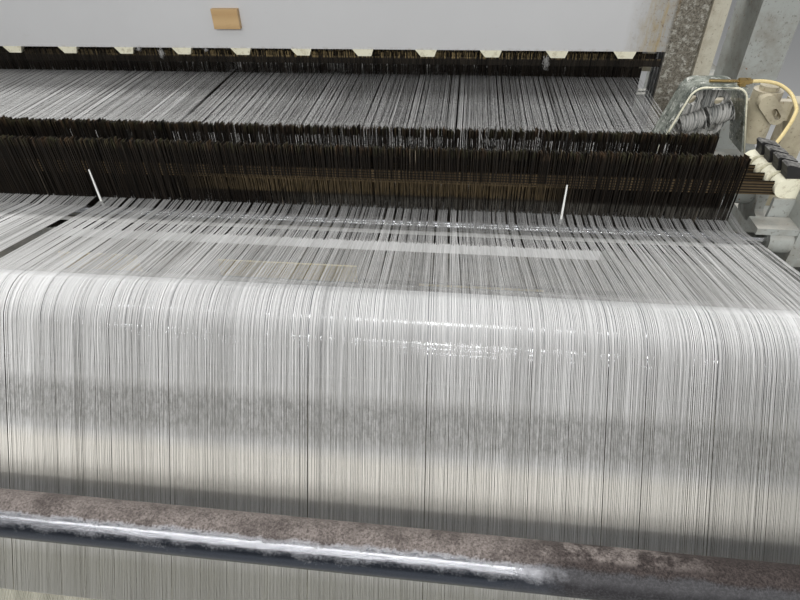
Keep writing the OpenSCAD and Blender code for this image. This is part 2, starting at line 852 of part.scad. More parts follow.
module breast_beam() {
    color(cream) difference() {
        along_x(-frame_x, frame_x) {
            translate(nose) circle(r = nose_r);
            translate([nose[0] - 60, nose[1] - 30]) square([60, 30 + nose_r]);
        }
        along_x(-frame_x - 1, frame_x + 1)
            round_rect([nose[0] - 52, nose[1] - 22], [nose[0] + 22, nose[1] + 25], 8);
    }
}

// Temples that hold the cloth's edges at the fell, on arms from the breast beam
module temples() {
    z = fell_z + sheet_t + 17;
    arm = warp_end + 10;
    color(steel) both_sides() {
        rod_along_x([fell[0] + 24, z], 16, warp_end - 120, arm + 1);
        block([arm, fell[0] + 14, z - 8], [arm + 26, nose[0] - 10, z + 8]);
        block([arm, nose[0] - 45, nose[1] + nose_r], [arm + 26, nose[0] - 10, z - 7]);
    }
}

// A roller between the side frames with its two journals
module roller(c, r, journal, half) {
    rod_along_x(c, r, -half, half);
    rod_along_x(c, journal, -frame_x - web_t, frame_x + web_t);
}

module take_up_roller() {
    color([0.25, 0.35, 0.28]) roller(take, take_r, 25, warp_end + 4);
}

module press_roller() {
    color(dark_steel) roller(press, press_r, 15, warp_end + 4);
}

module cloth_roll() {
    color(thread) roller(roll, roll_r, 25, warp_end);
}

module take_up_gearbox() {
    color(machine_grey) along_x(frame_out, frame_out + 85)
        round_rect(take - [70, 80], take + [70, 80], 16);
}

// Motor inside the left side frame, and the belt cover outside it
module drive_motor() {
    color(dark_steel) {
        rod_along_x(motor, motor_r, -frame_x + 12, -frame_x + 210);
        rod_along_x(motor, motor_r + 25, -frame_x, -frame_x + 13);
        block([-frame_x + 70, motor[0] - 45, motor[1] + motor_r - 12], [-frame_x + 150, motor[0] + 45, motor[1] + motor_r + 40]);
        for (a = [20 : 20 : 340]) translate([-frame_x + 20, motor[0], motor[1]]) rotate([a + 90, 0, 0])
            translate([0, -2, motor_r - 2]) cube([170, 4, 12]);
    }
}

module drive_cover() {
    color(machine_grey) difference() {
        along_x(-frame_out - 85, -frame_out) hull() {
            translate(motor) circle(r = 120);
            translate(main_shaft) circle(r = 150);
        }
        rod_along_x(main_shaft, 12 + run, -frame_out - 86, -frame_out - 60);
    }
}

module handwheel() {
    x0 = -frame_out - 142;
    color(black) {
        translate([x0, main_shaft[0], main_shaft[1]]) rotate([0, 90, 0])
            rotate_extrude() translate([wheel_r - 10, 10]) circle(r = 10);
        for (a = [0, 120, 240]) along_x(x0 + 4, x0 + 16)
            translate(main_shaft) rotate(a) translate([10, -8]) square([wheel_r - 18, 16]);
        rod_along_x(main_shaft, 24, x0, x0 + 30);
        rod_along_x(main_shaft, 12, x0, -frame_out - 62);
    }
}

// Operator panel on the right side frame with two push buttons
panel_y = rest_y + front_reach - 30;
button_z = 940;
start_x = frame_x + 50;
stop_x = frame_x + 105;
button_travel = 4;

module control_panel() {
    color(cream) difference() {
        along_x(frame_x + 10, frame_out - 5) polygon([
            [panel_y - 100, 860], [panel_y, 860], [panel_y, 1010], [panel_y - 35, 1120], [panel_y - 100, 1120]
        ]);
        for (x = [start_x, stop_x])
            rod_along_y(x, button_z, button_r - 3 + run, panel_y - 22, panel_y + 1);
    }
}

module push_button(x) {
    rod_along_y(x, button_z, button_r - 3, panel_y - 14, panel_y + button_travel + 2);
    rod_along_y(x, button_z, button_r, panel_y + button_travel + 1, panel_y + button_travel + 9);
}

module start_button() {
    color("green") push_button(start_x);
}

module stop_button() {
    color("red") push_button(stop_x);
}

// Leno devices at both selvedges: a geared disc with two thread spools turns in a bell-shaped hood
spool_r = 16;
spool_l = 40;
spool_y = leno_y - 26;
flange_lip = 3;

module spool(x0) {
    rod_along_x([0, 0], spool_r, x0, x0 + spool_l);
    for (x = [x0, x0 + spool_l - 2]) rod_along_x([0, 0], spool_r + flange_lip, x, x + 2);
}

module leno_disc() {
    color(plastic) {
        difference() {
            union() {
                rod_along_y(leno_x, leno_z, leno_r, leno_y - 5, leno_y + 5);
                rod_along_y(leno_x, leno_z, 8, leno_y, leno_arm_y + leno_arm_t - 1);
            }
            for (a = [45 : 90 : 315])
                rod_along_y(leno_x + 34 * cos(a), leno_z + 34 * sin(a), 9, leno_y - 6, leno_y + 6);
        }
        translate([leno_x, spool_y, leno_z]) rotate([0, -leno_turn, 0]) {
            rod_along_x([0, 0], 3, -leno_r + 3, leno_r - 3);
            spool(3);
            spool(-3 - spool_l);
            for (x = [-leno_r + 3, -2, leno_r - 6])
                block([x, -4, -5], [x + (x == -2 ? 4 : 3), leno_y - spool_y - 4, 5]);
        }
    }
}

module hood_2d(wall, drop) {
    shoulder = 24;
    hull() {
        for (s = [-1, 1])
            translate([s * (leno_r - 26), leno_r + hood_gap - shoulder]) circle(r = shoulder - wall, $fn = 32);
        translate([wall - hood_foot, hood_low - leno_z - drop]) square([2 * (hood_foot - wall), 1]);
    }
}

module at_leno(y) {
    translate([leno_x, y, leno_z]) rotate([90, 0, 0]) children();
}

module leno_guard() {
    difference() {
        union() {
            at_leno(leno_arm_y) linear_extrude(leno_arm_y - hood_front) hood_2d(0, 0);
            block([leno_x + 20, leno_y - 34, leno_z + 36], [leno_x + 52, leno_y - 12, lug_top]);
        }
        at_leno(leno_arm_y + 1) linear_extrude(leno_arm_y - hood_front + 2) hood_2d(hood_wall, 6);
    }
}

module leno_guards() {
    color([0.75, 0.78, 0.74, 0.6]) both_sides() leno_guard();
}

module leno_housing() {
    post_x = frame_x + 5;
    difference() {
        union() {
            block([leno_x - 15, leno_arm_y, leno_z - 18], [post_x + 40, leno_arm_y + leno_arm_t, leno_z + 18]);
            rod_along_y(leno_x, leno_z, 26, leno_arm_y, leno_arm_y + leno_arm_t + 8);
            translate([leno_motor_x, leno_y, leno_z - 48]) cylinder(r = leno_motor_r, h = 92);
            translate([leno_motor_x, leno_y, leno_z + 43]) cylinder(r = leno_motor_r - 8, h = 9);
            across_x(leno_y - leno_motor_r, 16) difference() {
                hull() {
                    translate([leno_motor_x - 8, leno_z + 30]) circle(r = 14, $fn = 32);
                    translate([leno_motor_x + 16, leno_z + 6]) circle(r = 14, $fn = 32);
                }
                hull() {
                    translate([leno_motor_x + 8, leno_z + 16]) circle(r = 5, $fn = 24);
                    translate([leno_motor_x + 17, leno_z + 6]) circle(r = 5, $fn = 24);
                }
            }
            block([post_x, leno_arm_y - 10, frame_top], [post_x + 40, leno_arm_y + 30, leno_z + 18]);
        }
        rod_along_y(leno_x, leno_z, 8 + run, leno_arm_y - 1, leno_arm_y + leno_arm_t + 9);
    }
}

module leno_housings() {
    color([0.72, 0.66, 0.52]) both_sides() leno_housing();
}

// Brass fitting on the right hood's lug, with a thin pipe on one side and the air hose on the other
module air_fitting() {
    c = [hose_start[1], hose_start[2]];
    color(brass) {
        block([leno_x + 38, c[0] - 5, lug_top], [leno_x + 48, c[0] + 5, c[1]]);
        rod_along_x(c, 2.6, leno_x - 12, leno_x + 37);
        translate([leno_x + 36, c[0], c[1]]) rotate([0, 90, 0]) cylinder(r = 6, h = 18, $fn = 6);
        rod_along_x(c, 4, leno_x + 53, hose_start[0]);
    }
}

// Swept tube: one ring of points at each point of the route
function route_direction(r, i) = unit(r[min(i + 1, len(r) - 1)] - r[max(i - 1, 0)]);
function ring(r, i) =
    let (
        t = i == 0 ? [1, 0, 0] : route_direction(r, i),
        u = unit(cross(t, [0, -0.6, 0.8])),
        v = cross(t, u)
    )
    [for (k = [0 : hose_sides - 1])
        let (a = 360 * k / hose_sides)
        r[i] + hose_r * (cos(a) * u + sin(a) * v)];

module air_hose() {
    n = len(hose_route);
    s = hose_sides;
    points = [for (i = [0 : n - 1]) each ring(hose_route, i)];
    walls = [for (i = [0 : n - 2], k = [0 : s - 1])
        let (k1 = (k + 1) % s)
        each [[i * s + k, (i + 1) * s + k, (i + 1) * s + k1], [i * s + k, (i + 1) * s + k1, i * s + k1]]];
    caps = [[for (k = [0 : s - 1]) k], [for (k = [s - 1 : -1 : 0]) (n - 1) * s + k]];
    color([0.80, 0.70, 0.40]) polyhedron(points, concat(walls, caps));
}

side_frames();
cross_beams();
uprights();
heald_guides();
centre_bearing();
guard_tube();
guide_rods();
stop_motion_brackets();
drop_wires(1);  // drop_wires_1
drop_wires(2);  // drop_wires_2
drop_wires(3);  // drop_wires_3
drop_wires(4);  // drop_wires_4
contact_bar_holders();
holder_caps();
divider_pins();
leno_housings();
leno_guards();
air_fitting();
air_hose();
warp_left();
warp_right();
cloth();
breast_beam();
temples();
let_off_gearboxes();
take_up_gearbox();
drive_motor();
drive_cover();
control_panel();
easing_shaft();
easing_levers();
back_rest_roller();
on_side(false) warp_beam();  // warp_beam_left
on_side(true) warp_beam();  // warp_beam_right
on_side(false) beam_yarn();  // beam_yarn_left
on_side(true) beam_yarn();  // beam_yarn_right
on_side(false) let_off_pinion();  // let_off_pinion_left
on_side(true) let_off_pinion();  // let_off_pinion_right
color(steel) heald_frame(1, true);  // heald_frame_1
color(steel) heald_frame(2, true);  // heald_frame_2
color(steel) heald_frame(3, true);  // heald_frame_3
color(cream) heald_frame(4, false);  // heald_frame_4
heddles(1);  // heddles_1
heddles(2);  // heddles_2
heddles(3);  // heddles_3
heddles(4);  // heddles_4
heddle_hooks();
wear_block();
sley_shaft();
sley();
reed();
nozzles();
take_up_roller();
press_roller();
cloth_roll();
handwheel();
start_button();
stop_button();
on_side(false) leno_disc();  // leno_disc_left
on_side(true) leno_disc();  // leno_disc_right
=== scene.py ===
"""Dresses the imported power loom: fine threads, drop wires and heddles, and worn materials."""
import json
import math
import random

import bpy
import numpy as np
from mathutils import Matrix, Vector


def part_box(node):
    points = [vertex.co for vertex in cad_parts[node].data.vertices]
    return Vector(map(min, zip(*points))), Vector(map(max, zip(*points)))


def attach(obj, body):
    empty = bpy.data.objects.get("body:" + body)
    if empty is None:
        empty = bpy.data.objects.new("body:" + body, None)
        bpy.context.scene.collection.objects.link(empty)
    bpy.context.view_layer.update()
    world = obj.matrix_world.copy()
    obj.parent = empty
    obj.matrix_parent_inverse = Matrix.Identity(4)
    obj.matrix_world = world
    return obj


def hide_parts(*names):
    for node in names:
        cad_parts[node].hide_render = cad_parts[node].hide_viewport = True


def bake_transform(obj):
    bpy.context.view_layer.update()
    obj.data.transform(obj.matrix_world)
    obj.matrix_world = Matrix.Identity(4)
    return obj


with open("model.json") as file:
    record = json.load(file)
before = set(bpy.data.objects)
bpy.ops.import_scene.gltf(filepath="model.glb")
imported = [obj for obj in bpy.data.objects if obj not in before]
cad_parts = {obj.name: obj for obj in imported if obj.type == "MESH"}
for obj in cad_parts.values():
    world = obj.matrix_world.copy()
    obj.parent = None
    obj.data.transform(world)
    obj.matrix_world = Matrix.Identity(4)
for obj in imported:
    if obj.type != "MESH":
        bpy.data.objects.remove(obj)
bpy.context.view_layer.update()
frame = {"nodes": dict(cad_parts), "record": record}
rng = np.random.default_rng(7)
random.seed(7)
MM = 0.001

# Places taken from the CAD, in metres
REST = (-0.590, 0.910)
REST_R = 0.070
BEAM = (-0.600, 0.500)
YARN_R = 0.300
ROD_1_Y = -0.332
ROD_TOP_Z = 0.9334
SPLIT_Y = -0.168
FELL = (0.610, 0.899)
HEALD_Y = {1: 0.460, 2: 0.436, 3: 0.412, 4: 0.388}
EYE_Z = {1: 0.935, 2: 0.860, 3: 0.935, 4: 0.860}
ROW_Y = {row: -0.296 + (row - 1) * 0.0267 for row in (1, 2, 3, 4)}


def make_camera():
    """Camera at the place and angle of the photograph."""
    data = bpy.data.cameras.new("camera")
    data.lens = 25.4
    data.sensor_width = 36
    data.clip_start = 0.02
    data.clip_end = 40
    cam = bpy.data.objects.new("camera", data)
    bpy.context.scene.collection.objects.link(cam)
    right = Vector((0.99329, 0.1136, -0.0222)).normalized()
    ahead = Vector((-0.10222, 0.77147, -0.6279)).normalized()
    up = right.cross(ahead).normalized()
    right = ahead.cross(up).normalized()
    turn = Matrix((right, up, -ahead)).transposed().to_4x4()
    cam.matrix_world = Matrix.Translation((0.630, -1.112, 1.400)) @ turn
    bpy.context.scene.camera = cam


make_camera()


# Materials are built from small node graphs
class Graph:
    """One material: its methods add nodes and return the socket that carries their result."""

    def __init__(self, name):
        self.material = bpy.data.materials.new(name)
        self.material.use_nodes = True
        self.tree = self.material.node_tree
        self.shader = self.tree.nodes["Principled BSDF"]
        self.at = self.node("ShaderNodeTexCoord").outputs["Object"]

    def node(self, kind, **settings):
        n = self.tree.nodes.new(kind)
        for k, v in settings.items():
            setattr(n, k, v)
        return n

    def put(self, socket, value):
        """Links the value if it is a socket, and sets it if it is plain."""
        if isinstance(value, bpy.types.NodeSocket):
            self.tree.links.new(value, socket)
        else:
            socket.default_value = value

    def stretch(self, scale):
        """Object coordinates, scaled by its own number along each axis."""
        n = self.node("ShaderNodeVectorMath", operation="MULTIPLY")
        self.put(n.inputs[0], self.at)
        n.inputs[1].default_value = scale
        return n.outputs[0]

    def noise(self, scale, detail=4.0, rough=0.6, at=None):
        n = self.node("ShaderNodeTexNoise")
        self.put(n.inputs["Vector"], at or self.at)
        n.inputs["Scale"].default_value = scale
        n.inputs["Detail"].default_value = detail
        n.inputs["Roughness"].default_value = rough
        return n.outputs["Fac"]

    def cells(self, scale):
        n = self.node("ShaderNodeTexVoronoi")
        self.put(n.inputs["Vector"], self.at)
        n.inputs["Scale"].default_value = scale
        return n.outputs["Distance"]

    def wave(self, scale, direction="X", distort=0.0, at=None):
        n = self.node("ShaderNodeTexWave", wave_type="BANDS", bands_direction=direction)
        self.put(n.inputs["Vector"], at or self.at)
        n.inputs["Scale"].default_value = scale
        n.inputs["Distortion"].default_value = distort
        return n.outputs["Fac"]

    def between(self, value, low, high, a=0.0, b=1.0):
        """Goes from a to b while the value goes from low to high."""
        n = self.node("ShaderNodeMapRange", clamp=True)
        self.put(n.inputs["Value"], value)
        n.inputs["From Min"].default_value = low
        n.inputs["From Max"].default_value = high
        n.inputs["To Min"].default_value = a
        n.inputs["To Max"].default_value = b
        return n.outputs[0]

    def patches(self, scale, detail, rough, low, high, a=0.0, b=1.0, at=None):
        """Noise cut between two levels, which leaves soft blotches of strength a to b."""
        return self.between(self.noise(scale, detail, rough, at), low, high, a, b)

    def math(self, kind, a, b=0.0):
        n = self.node("ShaderNodeMath", operation=kind)
        self.put(n.inputs[0], a)
        self.put(n.inputs[1], b)
        return n.outputs[0]

    def times(self, a, b):
        return self.math("MULTIPLY", a, b)

    def plus(self, a, b):
        return self.math("ADD", a, b)

    def mix(self, fac, a, b):
        n = self.node("ShaderNodeMix", data_type="RGBA", clamp_factor=True)
        self.put(n.inputs["Factor"], fac)
        for socket, value in ((n.inputs["A"], a), (n.inputs["B"], b)):
            if isinstance(value, (tuple, list)):
                value = (*value[:3], 1.0)
            self.put(socket, value)
        return n.outputs["Result"]

    def axis(self, name, at=None):
        n = self.node("ShaderNodeSeparateXYZ")
        self.put(n.inputs[0], at or self.at)
        return n.outputs[name]

    def point(self, x, y, z):
        n = self.node("ShaderNodeCombineXYZ")
        for socket, value in zip(n.inputs, (x, y, z)):
            self.put(socket, value)
        return n.outputs[0]

    def facing_up(self):
        """1 where the surface looks straight up, 0 on walls."""
        n = self.node("ShaderNodeNewGeometry")
        return self.axis("Z", n.outputs["Normal"])

    def bump(self, height, strength=0.3, distance=0.001):
        n = self.node("ShaderNodeBump")
        n.inputs["Strength"].default_value = strength
        n.inputs["Distance"].default_value = distance
        self.put(n.inputs["Height"], height)
        self.tree.links.new(n.outputs["Normal"], self.shader.inputs["Normal"])

    def finish(self, color, rough, metal=0.0, **more):
        """Sets the shader and returns the material."""
        s = self.shader.inputs
        if isinstance(color, (tuple, list)):
            color = (*color[:3], 1.0)
        self.put(s["Base Color"], color)
        self.put(s["Roughness"], rough)
        self.put(s["Metallic"], metal)
        for k, v in more.items():
            self.put(s[k.replace("_", " ")], v)
        return self.material


OLD_DIRT = (0.32, 0.27, 0.20)
RUST = (0.25, 0.12, 0.06)


def painted(name, color, dirt=OLD_DIRT, dust=(0.62, 0.60, 0.55), rough=0.45, wear=0.5, chips=0.5):
    """Old enamel: blotches, dust on top, oily dirt in patches and chips down to rust."""
    g = Graph(name)
    tone = g.mix(g.noise(7.0, 5.0), tuple(c * 0.86 for c in color), tuple(min(1, c * 1.06) for c in color))
    grime = g.patches(16.0, 7.0, 0.68, 0.60 - 0.16 * wear, 0.78, 0.0, 0.75)
    tone = g.mix(grime, tone, dirt)
    speck = g.patches(170.0, 3.0, 0.6, 0.60, 0.70, 0.0, 0.55)
    tone = g.mix(speck, tone, tuple(0.5 * d for d in dirt))
    runs = g.patches(30.0, 5.0, 0.7, 0.60, 0.74, 0.0, 0.6 * wear, at=g.stretch((1.0, 1.0, 0.14)))
    tone = g.mix(runs, tone, (0.27, 0.19, 0.10))
    top = g.between(g.facing_up(), 0.35, 0.95, 0.0, 0.85)
    top = g.times(top, g.patches(34.0, 5.0, 0.6, 0.36, 0.62))
    tone = g.mix(top, tone, dust)
    chip = g.patches(46.0, 6.0, 0.7, 0.70 - 0.05 * chips, 0.715 - 0.05 * chips)
    tone = g.mix(chip, tone, (0.22, 0.115, 0.06))
    g.bump(g.math("SUBTRACT", g.noise(260.0, 4.0), g.times(chip, 0.8)), 0.22, 0.0006)
    gloss = g.patches(30.0, 4.0, 0.6, 0.3, 0.7, rough - 0.08, rough + 0.14)
    return g.finish(tone, g.plus(gloss, g.times(top, 0.25)))


def steel(name, color, rough=0.32, grime=(0.16, 0.11, 0.07), amount=0.4, brushed=True, rust=0.0):
    """Bare steel with turning marks, oil film and some rust."""
    g = Graph(name)
    lines = g.noise(60.0, 3.0, 0.6, g.stretch((14.0, 0.6, 0.6))) if brushed else g.noise(90.0, 3.0)
    tone = g.mix(lines, tuple(c * 0.82 for c in color), tuple(min(1, c * 1.08) for c in color))
    film = g.patches(22.0, 6.0, 0.66, 0.62 - 0.2 * amount, 0.82, 0.0, 0.9)
    tone = g.mix(film, tone, grime)
    spots = g.patches(75.0, 6.0, 0.7, 0.66 - 0.14 * rust, 0.72 - 0.1 * rust, 0.0, min(1.0, 0.3 + rust))
    tone = g.mix(spots, tone, RUST)
    r = g.plus(g.between(lines, 0.3, 0.7, rough - 0.05, rough + 0.08), g.times(film, 0.3))
    metal = g.math("SUBTRACT", 1.0, g.math("MAXIMUM", g.times(film, 0.7), spots))
    g.bump(g.plus(lines, g.times(spots, 0.6)), 0.12, 0.0004)
    return g.finish(tone, r, metal)


def plastic(name, color, dirt=(0.30, 0.24, 0.14), rough=0.42, amount=0.5):
    """Moulded plastic with grime in its pores."""
    g = Graph(name)
    tone = g.mix(g.noise(40.0, 4.0), tuple(c * 0.9 for c in color), tuple(min(1, c * 1.05) for c in color))
    grime = g.patches(85.0, 6.0, 0.7, 0.62 - 0.14 * amount, 0.76, 0.0, 0.8)
    tone = g.mix(grime, tone, dirt)
    g.bump(g.noise(500.0, 3.0), 0.12, 0.0003)
    return g.finish(tone, g.patches(60.0, 3.0, 0.6, 0.3, 0.7, rough - 0.06, rough + 0.12))


def casting_grey():
    dirt, dust = (0.17, 0.14, 0.10), (0.47, 0.45, 0.40)
    return painted("casting grey", (0.37, 0.385, 0.36), dirt, dust, rough=0.52, wear=0.9, chips=0.8)


def cream_paint():
    dirt, dust = (0.22, 0.17, 0.10), (0.50, 0.47, 0.41)
    return painted("cream paint", (0.54, 0.51, 0.41), dirt, dust, rough=0.5, wear=0.8, chips=0.8)


def gearbox_paint():
    dirt, dust = (0.19, 0.15, 0.10), (0.50, 0.46, 0.38)
    return painted("tan paint", (0.47, 0.42, 0.30), dirt, dust, rough=0.55, wear=0.9, chips=0.7)


def stave_paint():
    """Light grey stave, grubby towards its right end, with rusty end stays."""
    g = Graph("stave paint")
    tone = g.mix(g.noise(3.0, 3.0), (0.53, 0.53, 0.53), (0.595, 0.597, 0.597))
    smear = g.patches(26.0, 6.0, 0.7, 0.62, 0.80, 0.0, 0.35, at=g.stretch((0.5, 1.0, 1.4)))
    tone = g.mix(smear, tone, (0.42, 0.40, 0.36))
    end = g.between(g.axis("X"), 0.99, 1.07)
    tone = g.mix(g.times(end, 0.70), tone, (0.27, 0.265, 0.24))
    stain = g.patches(44.0, 7.0, 0.72, 0.46, 0.62, 0.0, 0.8)
    tone = g.mix(g.times(end, stain), tone, (0.34, 0.30, 0.23))
    drip = g.patches(40.0, 5.0, 0.7, 0.52, 0.64, 0.0, 0.8, at=g.stretch((1.0, 1.0, 0.12)))
    tone = g.mix(g.times(end, drip), tone, (0.38, 0.29, 0.14))
    core = g.times(end, g.patches(120.0, 5.0, 0.7, 0.56, 0.66, 0.0, 0.8))
    tone = g.mix(core, tone, (0.17, 0.11, 0.065))
    rim = g.patches(60.0, 5.0, 0.7, 0.48, 0.66, 0.0, 0.5)
    edge = g.times(g.between(g.axis("Z"), 1.004, 0.998), rim)
    tone = g.mix(edge, tone, (0.30, 0.24, 0.17))
    stay = g.between(g.math("ABSOLUTE", g.axis("X")), 1.088, 1.096)
    crumbs = g.patches(230.0, 6.0, 0.75, 0.36, 0.64)
    crust = g.mix(crumbs, (0.045, 0.036, 0.028), (0.27, 0.25, 0.20))
    crust = g.mix(g.patches(60.0, 6.0, 0.75, 0.52, 0.60), crust, (0.40, 0.39, 0.34))
    runs = g.patches(24.0, 5.0, 0.7, 0.55, 0.68, 0.0, 0.7, at=g.stretch((1.0, 1.0, 0.3)))
    crust = g.mix(runs, crust, (0.24, 0.16, 0.07))
    tone = g.mix(stay, tone, crust)
    g.bump(g.plus(g.noise(300.0, 3.0), g.times(stay, g.noise(230.0, 6.0, 0.75))), 0.2, 0.0006)
    return g.finish(tone, g.patches(20.0, 4.0, 0.6, 0.3, 0.7, 0.40, 0.56))


def guard_steel():
    """Steel tube: granular rust on top, then a polished strip, painted shade on its outer side, and dark to
    the right.
    """
    g = Graph("guard steel")
    normal = g.node("ShaderNodeNewGeometry").outputs["Normal"]
    back = g.times(g.axis("Y", normal), -1.0)
    grain = g.noise(430.0, 8.0, 0.8)
    patch = g.noise(30.0, 6.0, 0.7)
    # turn is near 0 on top of the tube and near 1 on the side away from the loom
    turn = g.plus(back, g.times(g.math("SUBTRACT", patch, 0.5), 0.60))
    turn = g.plus(turn, g.times(g.math("SUBTRACT", grain, 0.5), 0.50))
    fine = g.noise(330.0, 3.0, 0.6, g.stretch((0.22, 1.0, 1.0)))
    body = g.mix(fine, (0.40, 0.41, 0.44), (0.80, 0.80, 0.83))
    # Painted shade: the side away from the loom is darkened, following the surface normal
    low = g.between(turn, 0.72, 0.90)
    body = g.mix(low, body, g.mix(grain, (0.030, 0.038, 0.052), (0.10, 0.11, 0.135)))
    right = g.between(g.plus(g.axis("X"), g.times(patch, 0.12)), 0.75, 0.81)
    worn = g.mix(g.between(grain, 0.46, 0.66), (0.013, 0.011, 0.011), (0.078, 0.074, 0.078))
    body = g.mix(g.times(right, 0.92), body, worn)
    crust = g.between(turn, 0.50, 0.34)
    rust = g.mix(g.between(grain, 0.36, 0.62), (0.050, 0.038, 0.033), (0.30, 0.262, 0.240))
    dark_rust = g.mix(g.between(grain, 0.40, 0.64), (0.017, 0.013, 0.012), (0.092, 0.074, 0.068))
    rust = g.mix(g.between(patch, 0.52, 0.40, 0.0, 0.55), rust, dark_rust)
    pale = g.times(g.between(patch, 0.46, 0.56), g.between(turn, 0.24, 0.05))
    dark_rust = g.mix(g.times(pale, g.between(g.axis("X"), 0.90, 0.82)), dark_rust, rust)
    body = g.mix(crust, body, g.mix(right, rust, dark_rust))
    dull = g.math("MAXIMUM", crust, g.times(right, 0.75))
    g.bump(g.times(grain, g.plus(crust, 0.10)), 0.6, 0.0012)
    rough = g.plus(g.between(fine, 0.3, 0.7, 0.17, 0.27), g.times(dull, 0.5))
    metal = g.between(dull, 0.0, 1.0, 1.0, 0.05)
    return g.finish(body, rough, metal)


def chrome():
    """Chromed roller with turning marks and haze."""
    g = Graph("chrome")
    ring = g.noise(70.0, 3.0, 0.6, g.stretch((9.0, 0.5, 0.5)))
    tone = g.mix(ring, (0.70, 0.71, 0.73), (0.86, 0.87, 0.88))
    haze = g.patches(28.0, 5.0, 0.7, 0.5, 0.8, 0.0, 0.5)
    tone = g.mix(haze, tone, (0.42, 0.38, 0.33))
    g.bump(ring, 0.05, 0.0002)
    return g.finish(tone, g.plus(g.between(ring, 0.3, 0.7, 0.10, 0.17), g.times(haze, 0.35)), 1.0)


def yarn(name, light, dark, painted_light_bands=False):
    """Sized yarn: tone changes from thread to thread, with darker flecks and a soft nap.

    Set true, the last argument adds bands of painted light and shade to the sheet that climbs from the
    beams over the back rest. These are a painted highlight on the roller top, painted shade where the dark
    space behind shows through, a painted lit band, and the painted shadow of the guard tube with painted
    shade below it.
    """
    g = Graph(name)
    streak = g.noise(1.0, 2.0, 0.7, g.stretch((520.0, 1.6, 1.6)))
    band = g.noise(1.0, 3.0, 0.6, g.stretch((30.0, 0.6, 0.6)))
    level = g.plus(g.times(streak, 0.7), g.times(band, 0.3))
    tone = g.mix(g.between(level, 0.38, 0.60), dark, light)
    spots = g.patches(240.0, 4.0, 0.7, 0.60, 0.74, 0.0, 0.25)
    tone = g.mix(spots, tone, (0.30, 0.25, 0.19))
    if painted_light_bands:
        # The bands run level, a little higher towards the right
        height = g.plus(g.axis("Z"), g.times(g.axis("X"), -0.004))
        # Painted shade: a dark speckled band where the sheet leaves the roller and the dark space behind it
        # shows through
        grey = g.times(g.between(height, 0.905, 0.890), g.between(height, 0.845, 0.862))
        specks = g.patches(260.0, 4.0, 0.7, 0.42, 0.60, 0.35, 0.80, at=g.stretch((1.0, 0.4, 0.4)))
        tone = g.mix(g.times(grey, specks), tone, (0.27, 0.265, 0.25))
        # Painted light: a bright beige band for the lit yarn of the beam seen through the sheet
        painted_lit_band = g.times(g.between(height, 0.850, 0.836), g.between(height, 0.788, 0.800))
        tone = g.mix(g.times(painted_lit_band, 0.60), tone, (0.86, 0.82, 0.73))
        # Painted shadow of the guard tube in a band just above it, and painted shade lower down, below the
        # tube
        for high, low, most in ((0.782, 0.768, 0.20), (0.738, 0.716, 0.62)):
            tone = g.mix(g.between(height, high, low, 0.0, most), tone, (0.22, 0.21, 0.155))
        # Painted highlight: lighter on top of the back rest roller
        tone = g.mix(g.between(height, 0.952, 0.972, 0.0, 0.50), tone, (0.93, 0.93, 0.92))
        # Darker towards the right, below the roller top
        right = g.between(g.axis("X"), 0.78, 1.05, 0.0, 0.45)
        tone = g.mix(g.times(right, g.between(height, 0.95, 0.93)), tone, (0.24, 0.235, 0.22))
    return g.finish(tone, 0.5, 0.0, Sheen_Weight=0.25, Sheen_Roughness=0.5)


def beam_yarn():
    """Wound yarn of the beams: crossing fine diagonal lines over soft ridges."""
    g = Graph("beam yarn")
    along = g.times(g.plus(g.axis("Y"), g.axis("Z")), 0.28)
    one = g.point(g.plus(g.axis("X"), along), 0.0, 0.0)
    two = g.point(g.math("SUBTRACT", g.axis("X"), g.times(along, 0.55)), 0.0, 0.0)
    streak = g.noise(640.0, 2.0, 0.6, one)
    other = g.noise(520.0, 2.0, 0.6, two)
    band = g.noise(1.0, 4.0, 0.62, g.stretch((40.0, 1.0, 1.0)))
    level = g.times(g.plus(streak, other), 0.32)
    level = g.plus(level, g.times(band, 0.36))
    tone = g.mix(g.between(level, 0.40, 0.58), (0.15, 0.145, 0.11), (0.40, 0.385, 0.31))
    g.bump(g.plus(g.wave(70.0, at=one), g.times(streak, 1.4)), 0.7, 0.0009)
    return g.finish(tone, 0.75, 0.0, Sheen_Weight=0.2, Sheen_Roughness=0.5)


def cloth_material():
    """Unbleached woven cloth."""
    g = Graph("cloth")
    weave = g.times(g.wave(190.0, "X"), g.wave(190.0, "Y"))
    streak = g.noise(1.0, 2.0, 0.7, g.stretch((420.0, 2.0, 2.0)))
    tone = g.mix(g.between(streak, 0.3, 0.7), (0.60, 0.57, 0.49), (0.74, 0.72, 0.65))
    tone = g.mix(g.patches(9.0, 5.0, 0.7, 0.6, 0.78, 0.0, 0.3), tone, (0.46, 0.41, 0.32))
    g.bump(weave, 0.5, 0.0004)
    return g.finish(tone, 0.82, 0.0, Sheen_Weight=0.25, Sheen_Roughness=0.5)


